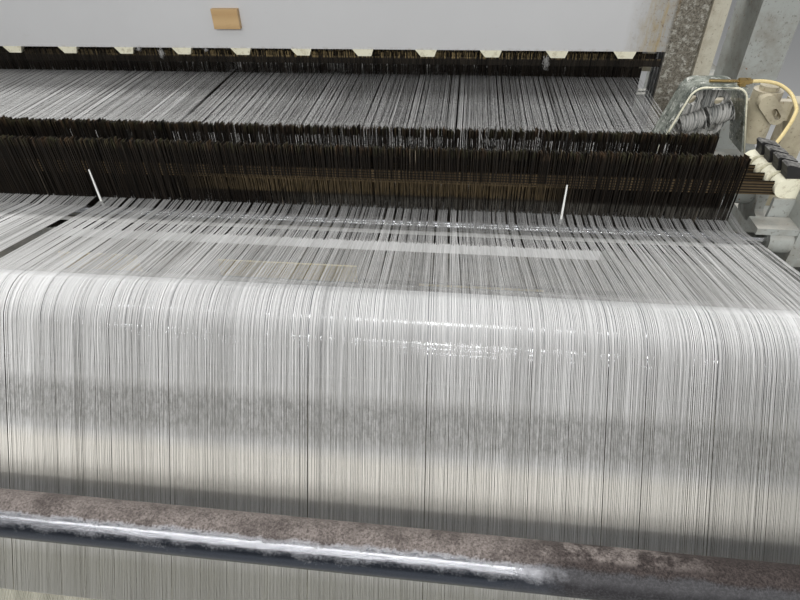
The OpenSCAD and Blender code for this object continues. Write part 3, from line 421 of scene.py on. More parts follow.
def dark_wire():
    """Blued drop wires: black with oil, olive and brown at the tips, golden lint at one height."""
    g = Graph("drop wire steel")
    streak = g.noise(1.0, 3.0, 0.75, g.stretch((420.0, 30.0, 9.0)))
    tone = g.mix(g.between(streak, 0.40, 0.66), (0.006, 0.005, 0.004), (0.034, 0.026, 0.019))
    tips = g.patches(1.0, 3.0, 0.7, 0.46, 0.62, at=g.stretch((300.0, 60.0, 30.0)))
    top = g.times(g.between(g.axis("Z"), 1.022, 1.036), tips)
    brown = g.patches(1.0, 2.0, 0.6, 0.42, 0.58, at=g.stretch((90.0, 1.0, 1.0)))
    tone = g.mix(top, tone, g.mix(brown, (0.085, 0.080, 0.042), (0.12, 0.078, 0.045)))
    pale = g.patches(1.0, 2.0, 0.6, 0.70, 0.73, at=g.stretch((260.0, 90.0, 4.0)))
    pale = g.times(pale, g.between(g.axis("X"), 0.05, 0.30, 0.25, 1.0))
    tone = g.mix(pale, tone, (0.36, 0.30, 0.22))
    wide = g.times(g.between(g.axis("X"), 0.15, 0.30), g.between(g.axis("X"), 0.80, 0.74))
    tall = g.times(g.between(g.axis("Z"), 0.957, 0.960), g.between(g.axis("Z"), 0.9865, 0.9855))
    dots = g.patches(1.0, 3.0, 0.7, 0.36, 0.58, 0.15, 0.85, at=g.stretch((340.0, 60.0, 60.0)))
    gold = g.times(g.times(wide, tall), dots)
    tone = g.mix(gold, tone, (0.15, 0.11, 0.058))
    foot = g.times(g.between(g.axis("X"), 0.30, 0.42), g.between(g.axis("Z"), 0.957, 0.953))
    foot = g.times(foot, g.patches(1.0, 3.0, 0.7, 0.40, 0.60, 0.1, 0.7, at=g.stretch((300.0, 40.0, 30.0))))
    tone = g.mix(foot, tone, (0.15, 0.14, 0.12))
    g.bump(streak, 0.2, 0.0004)
    return g.finish(tone, g.between(streak, 0.3, 0.7, 0.36, 0.58), 0.35)


def heddle_steel():
    """Dark heddles, their upper ends golden with lint towards the right."""
    g = Graph("heddle steel")
    streak = g.noise(1.0, 3.0, 0.7, g.stretch((300.0, 40.0, 5.0)))
    tone = g.mix(g.between(streak, 0.36, 0.64), (0.007, 0.006, 0.005), (0.036, 0.029, 0.022))
    ends = g.patches(1.0, 2.0, 0.6, 0.50, 0.58, at=g.stretch((260.0, 90.0, 4.0)))
    high = g.between(g.axis("Z"), 0.974, 0.980)
    right = g.times(g.between(g.axis("X"), -0.70, 0.25), g.between(g.axis("X"), 0.98, 0.74, 0.3, 1.0))
    ends = g.times(g.times(ends, high), right)
    tone = g.mix(ends, tone, (0.50, 0.38, 0.19))
    return g.finish(tone, g.between(streak, 0.3, 0.7, 0.36, 0.55), 0.4)


def wood():
    """Honey-coloured hardwood block, worn smooth."""
    g = Graph("wood")
    ring = g.wave(9.0, "Z", 3.0, g.stretch((0.35, 1.0, 1.0)))
    tone = g.mix(g.between(ring, 0.0, 1.0, 0.25, 0.75), (0.44, 0.28, 0.13), (0.60, 0.42, 0.22))
    pores = g.patches(160.0, 5.0, 0.7, 0.56, 0.72, 0.0, 0.35, at=g.stretch((0.2, 1.0, 1.0)))
    tone = g.mix(pores, tone, (0.28, 0.17, 0.08))
    g.bump(g.noise(160.0, 4.0, 0.6, g.stretch((0.2, 1.0, 1.0))), 0.2, 0.0005)
    return g.finish(tone, 0.5)


def brass():
    """Brass, spotted with oil."""
    g = Graph("brass")
    tone = g.mix(g.noise(60.0, 5.0), (0.48, 0.32, 0.12), (0.78, 0.58, 0.27))
    tone = g.mix(g.patches(140.0, 5.0, 0.7, 0.58, 0.7, 0.0, 0.8), tone, (0.16, 0.10, 0.05))
    return g.finish(tone, g.patches(80.0, 3.0, 0.6, 0.3, 0.7, 0.22, 0.42), 1.0)


def rubber():
    """Grit-faced green rubber of the take-up roller."""
    g = Graph("rubber")
    grit = g.cells(260.0)
    tone = g.mix(grit, (0.045, 0.075, 0.055), (0.12, 0.17, 0.13))
    g.bump(grit, 0.6, 0.0008)
    return g.finish(tone, 0.7)


def clear_plastic():
    """Guard of clear plastic, green-grey with oily lint, white scuffs and black specks."""
    g = Graph("clear plastic")
    film = g.noise(38.0, 6.0, 0.72)
    tone = g.mix(g.between(film, 0.4, 0.65), (0.09, 0.11, 0.09), (0.38, 0.40, 0.35))
    scuff = g.patches(75.0, 6.0, 0.75, 0.54, 0.62)
    tone = g.mix(scuff, tone, (0.66, 0.66, 0.60))
    black = g.patches(110.0, 5.0, 0.75, 0.60, 0.66)
    tone = g.mix(black, tone, (0.03, 0.03, 0.028))
    alpha = g.between(film, 0.38, 0.66, 0.50, 0.85)
    alpha = g.math("MAXIMUM", alpha, g.times(g.math("MAXIMUM", scuff, black), 0.95))
    g.bump(g.noise(240.0, 4.0), 0.2, 0.0005)
    return g.finish(tone, g.between(film, 0.3, 0.7, 0.25, 0.6), 0.0, Alpha=alpha, IOR=1.49)


def black_plastic():
    """Black moulding with light grey dust on its top."""
    g = Graph("black plastic")
    tone = g.mix(g.noise(60.0, 4.0), (0.012, 0.012, 0.013), (0.030, 0.029, 0.028))
    dust = g.times(g.between(g.facing_up(), 0.5, 0.95), g.patches(120.0, 5.0, 0.7, 0.38, 0.60, 0.1, 0.8))
    tone = g.mix(dust, tone, (0.30, 0.29, 0.27))
    g.bump(g.noise(400.0, 3.0), 0.15, 0.0003)
    return g.finish(tone, g.between(dust, 0.0, 1.0, 0.48, 0.85))


def leno_material():
    """Selvedge disc and its spools: grey plastic with wound thread and black oil streaks."""
    g = Graph("leno grey")
    streak = g.noise(1.0, 4.0, 0.7, g.stretch((360.0, 12.0, 12.0)))
    tone = g.mix(g.between(streak, 0.40, 0.60), (0.10, 0.105, 0.10), (0.46, 0.45, 0.42))
    black = g.patches(1.0, 3.0, 0.7, 0.56, 0.64, 0.0, 0.9, at=g.stretch((170.0, 40.0, 40.0)))
    tone = g.mix(black, tone, (0.03, 0.03, 0.028))
    g.bump(streak, 0.4, 0.0005)
    return g.finish(tone, 0.6)


# One material for each slot of the record, made when it is first used
made = {}
makers = {
    "casting_grey": casting_grey,
    "cream_paint": cream_paint,
    "stave_paint": stave_paint,
    "guard_steel": guard_steel,
    "bright_steel": lambda: steel("bright steel", (0.62, 0.63, 0.65), 0.3, amount=0.4, rust=0.2),
    "chrome": chrome,
    "cast_iron": lambda: steel("cast iron", (0.26, 0.26, 0.27), 0.5, amount=0.8, brushed=False, rust=0.5),
    "aluminium": lambda: steel("aluminium", (0.66, 0.67, 0.68), 0.38, amount=0.35),
    "drop_wire_steel": dark_wire,
    "heddle_steel": heddle_steel,
    "holder_plastic": lambda: plastic("cream plastic", (0.80, 0.77, 0.60), amount=0.8),
    "black_plastic": black_plastic,
    "white_plastic": lambda: plastic("white plastic", (0.86, 0.86, 0.83), amount=0.2),
    "clear_plastic": clear_plastic,
    "hose_plastic": lambda: plastic(
        "hose plastic", (0.74, 0.60, 0.30), dirt=(0.45, 0.30, 0.12), rough=0.25, amount=0.3
    ),
    "gearbox_paint": gearbox_paint,
    "brass": brass,
    "wood": wood,
    "warp_yarn": lambda: yarn("warp yarn", (0.67, 0.665, 0.65), (0.36, 0.355, 0.34)),
    "cloth": cloth_material,
    "rubber": rubber,
    "red_button": lambda: plastic("red button", (0.55, 0.035, 0.03), dirt=(0.15, 0.03, 0.02), rough=0.3),
    "green_button": lambda: plastic("green button", (0.03, 0.34, 0.10), dirt=(0.02, 0.10, 0.04), rough=0.3),
}


def material(slot):
    """The material of one slot."""
    if slot not in made:
        made[slot] = makers[slot]()
    return made[slot]


for part in frame["record"]["subparts"]:
    mesh = frame["nodes"][part["node"]].data
    mesh.materials.clear()
    mesh.materials.append(material(part["material_slot"]))

# These look different from the rest of their slot
wound = beam_yarn()
# The rear yarn is a lighter copy of the warp yarn, as painted light, and it carries the bands of painted
# light and shade
rear_yarn_painted_light = yarn("rear yarn", (0.74, 0.735, 0.72), (0.46, 0.455, 0.44), painted_light_bands=True)
# The cross beams get near-black paint instead of their cream slot, as painted shade for the dark inside of
# the loom
beam_paint_painted_shade = painted("dark beam paint", (0.115, 0.12, 0.11), dust=(0.26, 0.25, 0.225))
spools = leno_material()
for name, own in (
    ("beam_yarn_left", wound),
    ("beam_yarn_right", wound),
    ("cross_beams", beam_paint_painted_shade),
    ("leno_disc_left", spools),
    ("leno_disc_right", spools),
):
    frame["nodes"][name].data.materials[0] = own


# Meshes from arrays of points and faces
def piece(name, points, faces, slot, body, mat=None):
    """A small mesh on its body."""
    mesh = bpy.data.meshes.new(name)
    mesh.from_pydata([tuple(p) for p in points], [], [tuple(f) for f in faces])
    mesh.validate()
    mesh.update()
    ob = bpy.data.objects.new(name, mesh)
    bpy.context.scene.collection.objects.link(ob)
    mesh.materials.append(mat or material(slot))
    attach(ob, body)
    return ob


def fast_piece(name, points, quads, tris, slot, smooth=False, mat=None):
    """A large mesh from integer arrays of quads and tris, not yet on a body."""
    mesh = bpy.data.meshes.new(name)
    points = np.asarray(points, np.float32).reshape(-1, 3)
    quads = np.asarray(quads, np.int32).reshape(-1, 4)
    tris = np.asarray(tris, np.int32).reshape(-1, 3)
    mesh.vertices.add(len(points))
    mesh.vertices.foreach_set("co", points.ravel())
    loops = np.concatenate([quads.ravel(), tris.ravel()]).astype(np.int32)
    mesh.loops.add(len(loops))
    mesh.loops.foreach_set("vertex_index", loops)
    sizes = np.concatenate([np.full(len(quads), 4), np.full(len(tris), 3)]).astype(np.int32)
    starts = np.concatenate([[0], np.cumsum(sizes)[:-1]]).astype(np.int32)
    mesh.polygons.add(len(sizes))
    mesh.polygons.foreach_set("loop_start", starts)
    mesh.polygons.foreach_set("loop_total", sizes)
    mesh.polygons.foreach_set("use_smooth", np.full(len(sizes), smooth, bool))
    mesh.update(calc_edges=True)
    mesh.validate()
    ob = bpy.data.objects.new(name, mesh)
    bpy.context.scene.collection.objects.link(ob)
    mesh.materials.append(mat or material(slot))
    return ob


def tubes(name, paths, radius, slot, sides=3, mat=None):
    """Closed prisms along many paths at once: paths is threads x points x 3."""
    n, m, _ = paths.shape
    ahead = np.gradient(paths, axis=1)
    ahead /= np.linalg.norm(ahead, axis=2, keepdims=True)
    across = np.zeros_like(paths)
    across[..., 0] = 1.0
    across -= ahead * (across * ahead).sum(2, keepdims=True)
    across /= np.linalg.norm(across, axis=2, keepdims=True)
    out = np.cross(across, ahead)
    angles = math.pi / 2 + np.arange(sides) * 2 * math.pi / sides
    radius = np.broadcast_to(np.asarray(radius, float).reshape(-1, 1, 1), (n, m, 1))
    rings = np.stack([paths + radius * (math.cos(a) * across + math.sin(a) * out) for a in angles], axis=2)
    base = np.arange(n)[:, None, None] * m * sides + np.arange(m - 1)[None, :, None] * sides
    k = np.arange(sides)[None, None, :]
    k1 = (k + 1) % sides
    quads = np.stack([base + k, base + k1, base + sides + k1, base + sides + k], axis=-1).reshape(-1, 4)
    first = np.arange(n)[:, None] * m * sides
    last = first + (m - 1) * sides
    if sides == 3:
        caps = np.concatenate([first + np.array([2, 1, 0]), last + np.array([0, 1, 2])])
        return fast_piece(name, rings, quads, caps, slot, True, mat)
    caps = np.concatenate([first + np.array([3, 2, 1, 0]), last + np.array([0, 1, 2, 3])])
    return fast_piece(name, rings, np.concatenate([quads, caps]), [], slot, True, mat)


def stamped(name, outline, quads, places, slot, turns, scales=None):
    """Copies one small mesh to many places, each turned about its own vertical axis."""
    outline = np.asarray(outline, float)
    n = len(places)
    scales = np.ones((n, 3)) if scales is None else scales
    c, s = np.cos(turns)[:, None], np.sin(turns)[:, None]
    p = outline[None] * scales[:, None]
    x = p[..., 0] * c - p[..., 1] * s
    y = p[..., 0] * s + p[..., 1] * c
    points = np.stack([x, y, p[..., 2]], axis=-1) + np.asarray(places)[:, None]
    step = (np.arange(n) * len(outline))[:, None, None]
    quads = np.asarray(quads, int).reshape(1, -1, 4) + step
    return fast_piece(name, points, quads, [], slot)


def brick(low, high):
    """Points and quads of one box."""
    (x0, y0, z0), (x1, y1, z1) = low, high
    p = [(x, y, z) for z in (z0, z1) for x, y in ((x0, y0), (x1, y0), (x1, y1), (x0, y1))]
    f = [(0, 3, 2, 1), (4, 5, 6, 7), (0, 1, 5, 4), (1, 2, 6, 5), (2, 3, 7, 6), (3, 0, 4, 7)]
    return p, f


def slotted_strip(width, thick, z0, z1, low, high, side):
    """A thin strip with one long opening, its face across X."""
    w, t = width / 2, thick / 2
    rims = [(-w, z0), (w, z0), (w, z1), (-w, z1)]
    holes = [(side - w, low), (w - side, low), (w - side, high), (side - w, high)]
    p = [(x, y, z) for x in (-t, t) for y, z in rims + holes]
    q = []
    for k in range(4):
        n = (k + 1) % 4
        q.append((k, 4 + k, 4 + n, n))
        q.append((8 + k, 8 + n, 12 + n, 12 + k))
        q.append((k, n, 8 + n, 8 + k))
        q.append((4 + k, 12 + k, 12 + n, 4 + n))
    return p, q


def joined(shapes):
    """Points and quads of several small meshes together."""
    p, q = [], []
    for points, faces in shapes:
        k = len(p)
        p.extend(points)
        q.extend([tuple(i + k for i in f) for f in faces])
    return p, q


# Paths in the (y, z) plane
def on_circle(centre, r, degrees):
    """Point of a circle, at an angle counted from +Y towards +Z."""
    a = math.radians(degrees)
    return (centre[0] + r * math.cos(a), centre[1] + r * math.sin(a))


def straight(start, end, count):
    """Evenly spaced points from start to end, both included."""
    return [
        (start[0] + (end[0] - start[0]) * t, start[1] + (end[1] - start[1]) * t)
        for t in np.linspace(0, 1, count)
    ]


# The warp: threads of each half, dealt out over the four heald frames
CLEAR = 0.001
MEET_ANGLE = 144.5
LEAVE_ANGLE = 79.45
LEAVE_BEAM = on_circle(BEAM, YARN_R + CLEAR, MEET_ANGLE)
MEET_ROLLER = on_circle(REST, REST_R + CLEAR, MEET_ANGLE)
LEAVE_ROLLER = on_circle(REST, REST_R + CLEAR, LEAVE_ANGLE)
AT_ROD = (ROD_1_Y, ROD_TOP_Z + 0.0006)
AT_SPLIT = (SPLIT_Y, 0.934)

THREADS = 1300
MISSING = 0.012
THIN_EDGE = 0.984
# Distance of the first and last thread from the middle, at places along the warp
FAN_Y = [-0.85, REST[0], ROD_1_Y, 0.40, 0.61]
FAN_IN = [0.0296, 0.0085, 0.0062, 0.0034, 0.0034]
FAN_OUT = [1.0815, 1.0740, 1.0560, 1.0500, 1.0480]


def bunched(n):
    """Shift of each thread towards the middle of its bunch, as a share of the whole width."""
    shift = np.zeros(n)
    first = 0
    while first < n:
        run = np.arange(first, min(n, first + int(rng.integers(5, 26))))
        shift[run] = (run.mean() - run) * rng.uniform(0.10, 0.36) / n
        first = run[-1] + 1
    return shift


def warp_half(side):
    """Threads of one half; side is -1 on the left and 1 on the right."""
    tag = "right" if side > 0 else "left"
    n = THREADS
    share = (np.arange(n) + 0.5) / n + rng.normal(0, 0.22 / n, n)
    keep = rng.random(n) > MISSING
    keep &= (share < THIN_EDGE) | (rng.random(n) < 0.5)
    clump = bunched(n) + np.sin(np.arange(n) * 0.137) * 0.5 / n
    thick = rng.uniform(0.20, 0.34, n) * MM
    # Behind the back rest the threads are made thicker, so that they close to a sheet
    dense = np.clip(thick * 1.6, 0.36 * MM, 0.46 * MM)
    order = np.arange(n) % 4
    jitter = rng.normal(0, 0.25 / n, n)

    def xs(y, stray):
        """X of every thread at one place along the warp."""
        inner = np.interp(y, FAN_Y, FAN_IN)
        outer = np.interp(y, FAN_Y, FAN_OUT)
        return side * (inner + np.clip(share + stray, 0.0008, 0.9992) * (outer - inner))

    def path(yz, use, strays):
        """Points of the threads in use: threads x places x 3."""
        out = np.zeros((use.sum(), len(yz), 3))
        for i, (y, z) in enumerate(yz):
            out[:, i, 0] = xs(y, strays[i])[use]
            out[:, i, 1] = y
            out[:, i, 2] = z
        return out

    wrap = [on_circle(REST, REST_R + CLEAR, a) for a in np.linspace(MEET_ANGLE, LEAVE_ANGLE, 7)[1:]]
    back = straight(LEAVE_BEAM, MEET_ROLLER, 4) + wrap
    strays = [0.0] * 4 + [clump * 0.12] * 6
    ob = tubes(f"warp_rear_{tag}", path(back, keep, strays), dense[keep], "warp_yarn", mat=rear_yarn_painted_light)
    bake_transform(ob)
    pieces = [ob]
    ahead = straight(LEAVE_ROLLER, AT_ROD, 4) + [AT_SPLIT]
    strays = [clump * (0.12 + 0.88 * t) + jitter * t for t in np.linspace(0, 1, 4)] + [clump + jitter]
    ob = tubes(f"warp_over_rods_{tag}", path(ahead, keep, strays), thick[keep], "warp_yarn")
    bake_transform(ob)
    pieces.append(ob)
    for k in (1, 2, 3, 4):
        use = keep & (order == k - 1)
        eye = (HEALD_Y[k], EYE_Z[k])
        run = straight(AT_SPLIT, eye, 6)
        strays = [(clump + jitter) * (1 - 0.35 * t) for t in np.linspace(0, 1, 6)]
        ob = tubes(f"warp_to_heald_{k}_{tag}", path(run, use, strays), thick[use], "warp_yarn")
        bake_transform(ob)
        pieces.append(ob)
        run = straight(eye, FELL, 5)
        strays = [(clump + jitter) * 0.65 * (1 - t) for t in np.linspace(0, 1, 5)]
        ob = tubes(f"warp_to_fell_{k}_{tag}", path(run, use, strays), thick[use], "warp_yarn")
        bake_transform(ob)
        pieces.append(ob)
    for p in pieces:
        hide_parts(f"warp_{tag}")


warp_half(-1)
warp_half(1)


# Drop wires: thin slotted strips, each turned a little by its thread
ROW_DIP = {1: 0.0, 2: 0.024, 3: 0.027, 4: 0.001}
ROW_END = {1: 1.038, 2: 1.032, 3: 1.026, 4: 1.020}
WIRE_SIZE = (0.011, 0.0006)
WIRE_HEIGHT = 0.165
WIRE_SLOT = (0.060, 0.150)
WIRE_SIDE = 0.0026
WIRE_FOOT_Z = 0.8722
CONTACT_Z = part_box("contact_bar_holders")[0].z + 0.002
CONTACT_HEIGHT = 0.018


def contact_bar_metal():
    """Brown bar with dark insulation between its strips."""
    g = Graph("contact bar")
    grain = g.noise(1.0, 4.0, 0.7, g.stretch((70.0, 200.0, 200.0)))
    tone = g.mix(grain, (0.05, 0.036, 0.024), (0.24, 0.17, 0.09))
    lines = g.between(g.wave(70.0, "Z"), 0.35, 0.65)
    tone = g.mix(lines, (0.022, 0.017, 0.013), tone)
    return g.finish(tone, 0.42, 0.6)


contact_bar = contact_bar_metal()


def drop_wires(row):
    """One row of wires and the contact bar in their slots."""
    pitch = 0.0016
    half = ROW_END[row]
    n = int(2 * half / pitch)
    x = -half + (np.arange(n) + 0.5) * pitch + rng.normal(0, 0.0004, n)
    x = x[rng.random(n) > 0.02]
    p, q = slotted_strip(*WIRE_SIZE, 0.0, WIRE_HEIGHT, *WIRE_SLOT, WIRE_SIDE)
    z = WIRE_FOOT_Z - ROW_DIP[row] + np.abs(rng.normal(0, 0.0022, len(x)))
    places = np.stack([x, np.full(len(x), ROW_Y[row]), z], axis=1)
    scales = np.ones((len(x), 3))
    scales[:, 2] = 1 + rng.uniform(-0.022, 0.000, len(x))
    turns = rng.normal(0.10, 0.17, len(x))
    ob = stamped(f"drop_wire_row_{row}", p, q, places, "drop_wire_steel", turns, scales)
    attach(ob, "root")
    low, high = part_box(f"drop_wires_{row}")
    y = (low.y + high.y) / 2
    z0, z1 = CONTACT_Z, CONTACT_Z + CONTACT_HEIGHT
    p, q = joined([
        brick((low.x, y - 0.003, z0), (high.x, y - 0.0018, z1)),
        brick((low.x, y + 0.0018, z0), (high.x, y + 0.003, z1)),
        brick((low.x, y - 0.003, z0 - 0.0012), (high.x, y + 0.003, z0)),
        brick((low.x, y - 0.0007, z0), (high.x, y + 0.0007, z1 + 0.002)),
    ])
    bar = piece(f"contact_bar_{row}", p, q, "drop_wire_steel", "root", mat=contact_bar)
    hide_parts(f"drop_wires_{row}")
    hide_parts(f"drop_wires_{row}")


for row in (1, 2, 3, 4):
    drop_wires(row)


# Heddles
HEDDLE_PITCH = 0.0030
HEDDLE_END = 1.05
HEDDLE_ROD_END = 1.09
MIDDLE_GAP = 0.006


def heddles(k):
    """Thin strips with an eye, hanging on the two rods of their frame."""
    y = HEALD_Y[k]
    n = int(2 * HEDDLE_END / HEDDLE_PITCH)
    x = -HEDDLE_END + (np.arange(n) + 0.5) * HEDDLE_PITCH + rng.normal(0, 0.0006, n)
    x = x[np.abs(x) > MIDDLE_GAP]
    low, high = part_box(f"heddles_{k}")
    eye = EYE_Z[k]
    foot, top = low.z - 0.002, high.z + 0.009
    strip, thick = 0.0050, 0.0007
    shapes = [
        slotted_strip(strip, thick, eye - 0.0040, eye + 0.0040, eye - 0.0026, eye + 0.0026, 0.0014),
        slotted_strip(strip, thick, eye + 0.0041, top, high.z - 0.025, high.z + 0.0045, 0.0012),
    ]
    if k == 4:
        loop = slotted_strip(strip, thick, foot, eye - 0.0041, low.z + 0.0005, low.z + 0.024, 0.0012)
        shapes.insert(0, loop)
    else:
        shapes.append(brick((-thick / 2, -strip / 2, foot), (thick / 2, strip / 2, eye - 0.0041)))
    p, q = joined(shapes)
    places = np.stack([x, np.full(len(x), y), rng.normal(0, 0.0007, len(x))], axis=1)
    ob = stamped(f"heddle_strips_{k}", p, q, places, "heddle_steel", rng.normal(0.25, 0.22, len(x)))
    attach(ob, f"heald_{k}")
    p, q = joined([
        brick((-HEDDLE_ROD_END, y - 0.0009, z + 0.001), (HEDDLE_ROD_END, y + 0.0009, z + 0.019))
        for z in (low.z, high.z - 0.021)
    ])
    rods = piece(f"heddle_rods_{k}", p, q, "heddle_steel", f"heald_{k}")
    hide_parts(f"heddles_{k}")
    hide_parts(f"heddles_{k}")


for k in (1, 2, 3, 4):
    heddles(k)


# Air hose, cloth and small things
def smooth_route(route, steps):
    """Catmull-Rom curve through the points."""
    p = np.asarray([route[0], *route, route[-1]], float)
    p[0] = 2 * p[1] - p[2]
    p[-1] = 2 * p[-2] - p[-3]
    out = []
    for i in range(1, len(p) - 2):
        for t in np.arange(steps) / steps:
            a, b, c, d = p[i - 1:i + 3]
            square = 2 * a - 5 * b + 4 * c - d
            cube = 3 * b - a - 3 * c + d
            out.append(0.5 * (2 * b + (c - a) * t + square * t ** 2 + cube * t ** 3))
    return np.array([*out, p[-2]])


def air_hose():
    """Hose from the brass fitting round to the last contact-bar holder."""
    route = np.array([
        (1114, -54, 1068), (1128, -55, 1069), (1141, -59, 1069), (1152, -67, 1068),
        (1160, -78, 1065), (1165, -91, 1061), (1166, -106, 1056), (1163, -130.9, 1049),
        (1157, -143.9, 1044), (1149, -156.9, 1037), (1140, -168.9, 1030), (1131, -179.9, 1022),
        (1121, -190.9, 1014), (1110, -202.9, 1006),
    ]) * MM
    diameter = 0.006
    points = smooth_route(route, 2)
    data = bpy.data.curves.new("air_hose_tube", "CURVE")
    data.dimensions = "3D"
    data.bevel_depth = diameter / 2
    data.bevel_resolution = 4
    data.use_fill_caps = True
    spline = data.splines.new("POLY")
    spline.points.add(len(points) - 1)
    for target, p in zip(spline.points, points):
        target.co = (*p, 1)
    data.materials.append(material("hose_plastic"))
    ob = bpy.data.objects.new("air_hose_tube", data)
    bpy.context.scene.collection.objects.link(ob)
    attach(ob, "root")
    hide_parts("air_hose")


air_hose()

# Centres and radii that the cloth bends round, and the angles where it leaves the nose and meets the roll
NOSE, NOSE_R = (0.850, 0.8596), 0.040
TAKE, TAKE_R = (0.770, 0.740), 0.081
PRESS, PRESS_R = (0.6687, 0.6815), 0.036
ROLL, ROLL_R = (0.780, 0.340), 0.151
OFF_NOSE = -17.2
ON_ROLL = 179.38
CLOTH_END = 1.082
CLOTH_Z = 0.8996
HALF_THICK = 0.0003


def cloth_sheet():
    """Woven cloth from the fell over the breast beam, round the take-up roller and down to its roll."""
    line = [(y, CLOTH_Z) for y in np.linspace(FELL[0] + HALF_THICK, NOSE[0], 9)]
    line += [on_circle(NOSE, NOSE_R, a) for a in np.linspace(90, OFF_NOSE, 14)[1:]]
    line += [on_circle(TAKE, TAKE_R, a) for a in np.linspace(OFF_NOSE, -150, 20)]
    line += [on_circle(PRESS, PRESS_R, a) for a in np.linspace(30, ON_ROLL, 16)[1:]]
    line += straight(line[-1], on_circle(ROLL, ROLL_R, ON_ROLL), 6)[1:]
    line = np.array(line)
    ahead = np.gradient(line, axis=0)
    ahead /= np.linalg.norm(ahead, axis=1, keepdims=True)
    off = np.stack([-ahead[:, 1], ahead[:, 0]], axis=1) * HALF_THICK
    ring = np.concatenate([line + off, (line - off)[::-1]])
    n = len(ring)
    points = [(x, y, z) for x in (-CLOTH_END, CLOTH_END) for y, z in ring]
    faces = [(k, (k + 1) % n, n + (k + 1) % n, n + k) for k in range(n)]
    half = len(line)
    for k in range(half - 1):
        faces.append((k, n - 1 - k, n - 2 - k, k + 1))
        faces.append((n + k, n + k + 1, 2 * n - 2 - k, 2 * n - 1 - k))
    ob = piece("cloth_sheet", points, faces, "cloth", "root")
    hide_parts("cloth")


cloth_sheet()


def hex_bolts(name, places, size):
    """Hexagon bolt heads on washers, standing out towards the warp side from the given places."""
    shapes = []
    out = np.array((0.0, -1.0, 0.0))
    side = np.array((0.0, 0.0, 1.0))
    other = np.cross(out, side)
    for place in places:
        for sides, r, z0, z1 in ((16, size * 1.25, 0.0, size * 0.22), (6, size, size * 0.22, size * 0.9)):
            turns = np.arange(sides) * 2 * math.pi / sides + random.random()
            rim = [math.cos(a) * side + math.sin(a) * other for a in turns]
            p = [tuple(np.array(place) + out * z + r * v) for z in (z0, z1) for v in rim]
            f = [(k, (k + 1) % sides, sides + (k + 1) % sides, sides + k) for k in range(sides)]
            f += [tuple(range(sides))[::-1], tuple(range(sides, 2 * sides))]
            shapes.append((p, f))
    p, f = joined(shapes)
    piece(name, p, f, "bright_steel", "root")


def tie_plates():
    """Yellowish plates bolted to the tie beam, seen between the threads."""
    # Left, right, lower and upper edge of each
    plates = (
        (-0.184, -0.016, 0.668, 0.770),
        (0.154, 0.432, 0.668, 0.770),
        (0.553, 0.791, 0.660, 0.735),
    )
    shapes, bolts = [], []
    near, far = -0.2445, -0.2403
    inset = 0.02
    for x0, x1, z0, z1 in plates:
        shapes.append(brick((x0, near, z0), (x1, far, z1)))
        bolts += [(x0 + inset, near, z0 + inset), (x1 - inset, near, z0 + inset)]
    p, f = joined(shapes)
    yellow = painted("yellowed plate", (0.88, 0.72, 0.33), dust=(0.80, 0.70, 0.42), wear=0.1, chips=0.05)
    piece("tie_beam_plates", p, f, "cream_paint", "root", mat=yellow)
    hex_bolts("tie_beam_bolts", bolts, 0.008)


tie_plates()


def hull_over_top(points):
    """Convex outline of points (x, z), from the lowest left one over the top to the lowest right one."""
    points = sorted(set((round(x, 6), round(z, 6)) for x, z in points))
    chain = []
    for p in points:
        while len(chain) > 1:
            (x0, z0), (x1, z1) = chain[-2:]
            if (x1 - x0) * (p[1] - z0) - (z1 - z0) * (p[0] - x0) < 0:
                break
            chain.pop()
        chain.append(p)
    return chain


def guard_rims():
    """Yellowish rolled rim round the open side of each selvedge guard."""
    mesh = frame["nodes"]["leno_guards"].data
    low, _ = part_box("leno_guards")
    front = [v.co for v in mesh.vertices if abs(v.co.y - low.y) < 1e-5]
    for side, tag in ((1, "right"), (-1, "left")):
        line = hull_over_top([(p.x, p.z) for p in front if p.x * side > 0])
        path = np.array([[(x, low.y + 0.0006, z) for x, z in line]])
        ob = tubes(f"guard_rim_{tag}", path, np.array([0.0019]), "holder_plastic", sides=4)
        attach(ob, "root")


guard_rims()


def lint(name, centre, size):
    """A tuft of loose fibres on the heald frame nearest the warp beams."""
    count = 34
    steps = rng.normal(0, 1, (count, 9, 3))
    walk = np.cumsum(steps, axis=1)
    walk -= walk.mean(axis=1, keepdims=True)
    walk += rng.normal(0, 1.2, (count, 1, 3))
    walk *= np.array(size) / 3.4
    walk += np.array(centre)
    ob = tubes(name, walk, np.full(count, 0.00022), "warp_yarn")
    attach(ob, "heald_4")


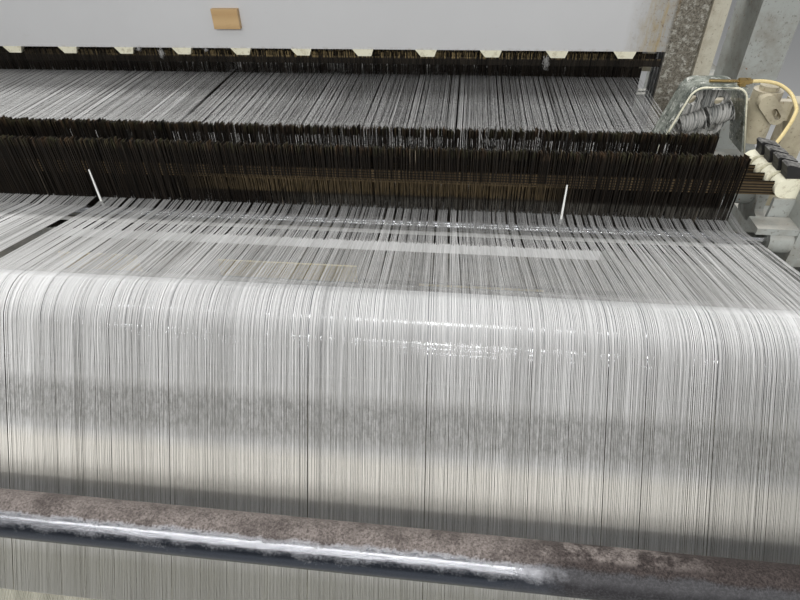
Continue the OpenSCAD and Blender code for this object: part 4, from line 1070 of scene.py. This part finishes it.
# X, Z, width and height of each tuft
TUFTS = (
    (-0.185, 0.985, 0.007, 0.012),
    (0.815, 0.972, 0.007, 0.016),
    (-0.245, 0.994, 0.004, 0.004),
    (-0.06, 0.994, 0.004, 0.004),
)
TUFT_Y = 0.377
TUFT_DEPTH = 0.003
for k, (x, z, width, height) in enumerate(TUFTS):
    lint(f"lint_{k}", (x, TUFT_Y, z), (width, TUFT_DEPTH, height))


# Floor, light and background
def stage():
    """Pale floor, plain world and the lamps."""
    size = 9.0
    mesh = bpy.data.meshes.new("floor")
    corners = [(-size, -size, 0), (size, -size, 0), (size, size, 0), (-size, size, 0)]
    mesh.from_pydata(corners, [], [(0, 1, 2, 3)])
    floor = bpy.data.objects.new("floor", mesh)
    bpy.context.scene.collection.objects.link(floor)
    g = Graph("floor")
    mesh.materials.append(g.finish((0.60, 0.60, 0.59), 0.8))
    world = bpy.data.worlds.new("world")
    bpy.context.scene.world = world
    world.use_nodes = True
    back = world.node_tree.nodes["Background"]
    back.inputs["Color"].default_value = (0.86, 0.87, 0.89, 1)
    back.inputs["Strength"].default_value = 0.37
    # Name, place, width and depth in metres, watts, aim, and whether metal reflects it
    for name, place, size_x, size_y, power, aim, shows in (
        ("main", (0.2, 1.5, 3.0), 3.4, 0.35, 84, (0.2, 0.0, 0.93), False),
        ("fill", (0.6, -2.8, 2.3), 2.4, 1.0, 58, (0.4, 0.3, 1.0), False),
        ("tube_1", (0.3, -0.99, 3.0), 3.2, 0.16, 6, (0.3, -0.6, 0.9), True),
        ("tube_2", (0.3, -2.2, 2.2), 3.2, 0.05, 6, (0.3, -0.6, 0.9), True),
        ("tube_3", (0.3, -3.34, 2.46), 3.6, 0.03, 5, (0.3, -0.8, 0.83), True),
        ("tube_4", (0.3, -3.60, 2.00), 3.6, 0.03, 4, (0.3, -0.8, 0.83), True),
    ):
        data = bpy.data.lights.new(name, "AREA")
        data.shape = "RECTANGLE"
        data.size, data.size_y = size_x, size_y
        data.energy = power
        lamp = bpy.data.objects.new(name, data)
        lamp.visible_glossy = shows
        bpy.context.scene.collection.objects.link(lamp)
        lamp.location = place
        lamp.rotation_euler = (Vector(aim) - Vector(place)).to_track_quat("-Z", "Y").to_euler()


stage()
bpy.context.scene.view_settings.view_transform = "Standard"
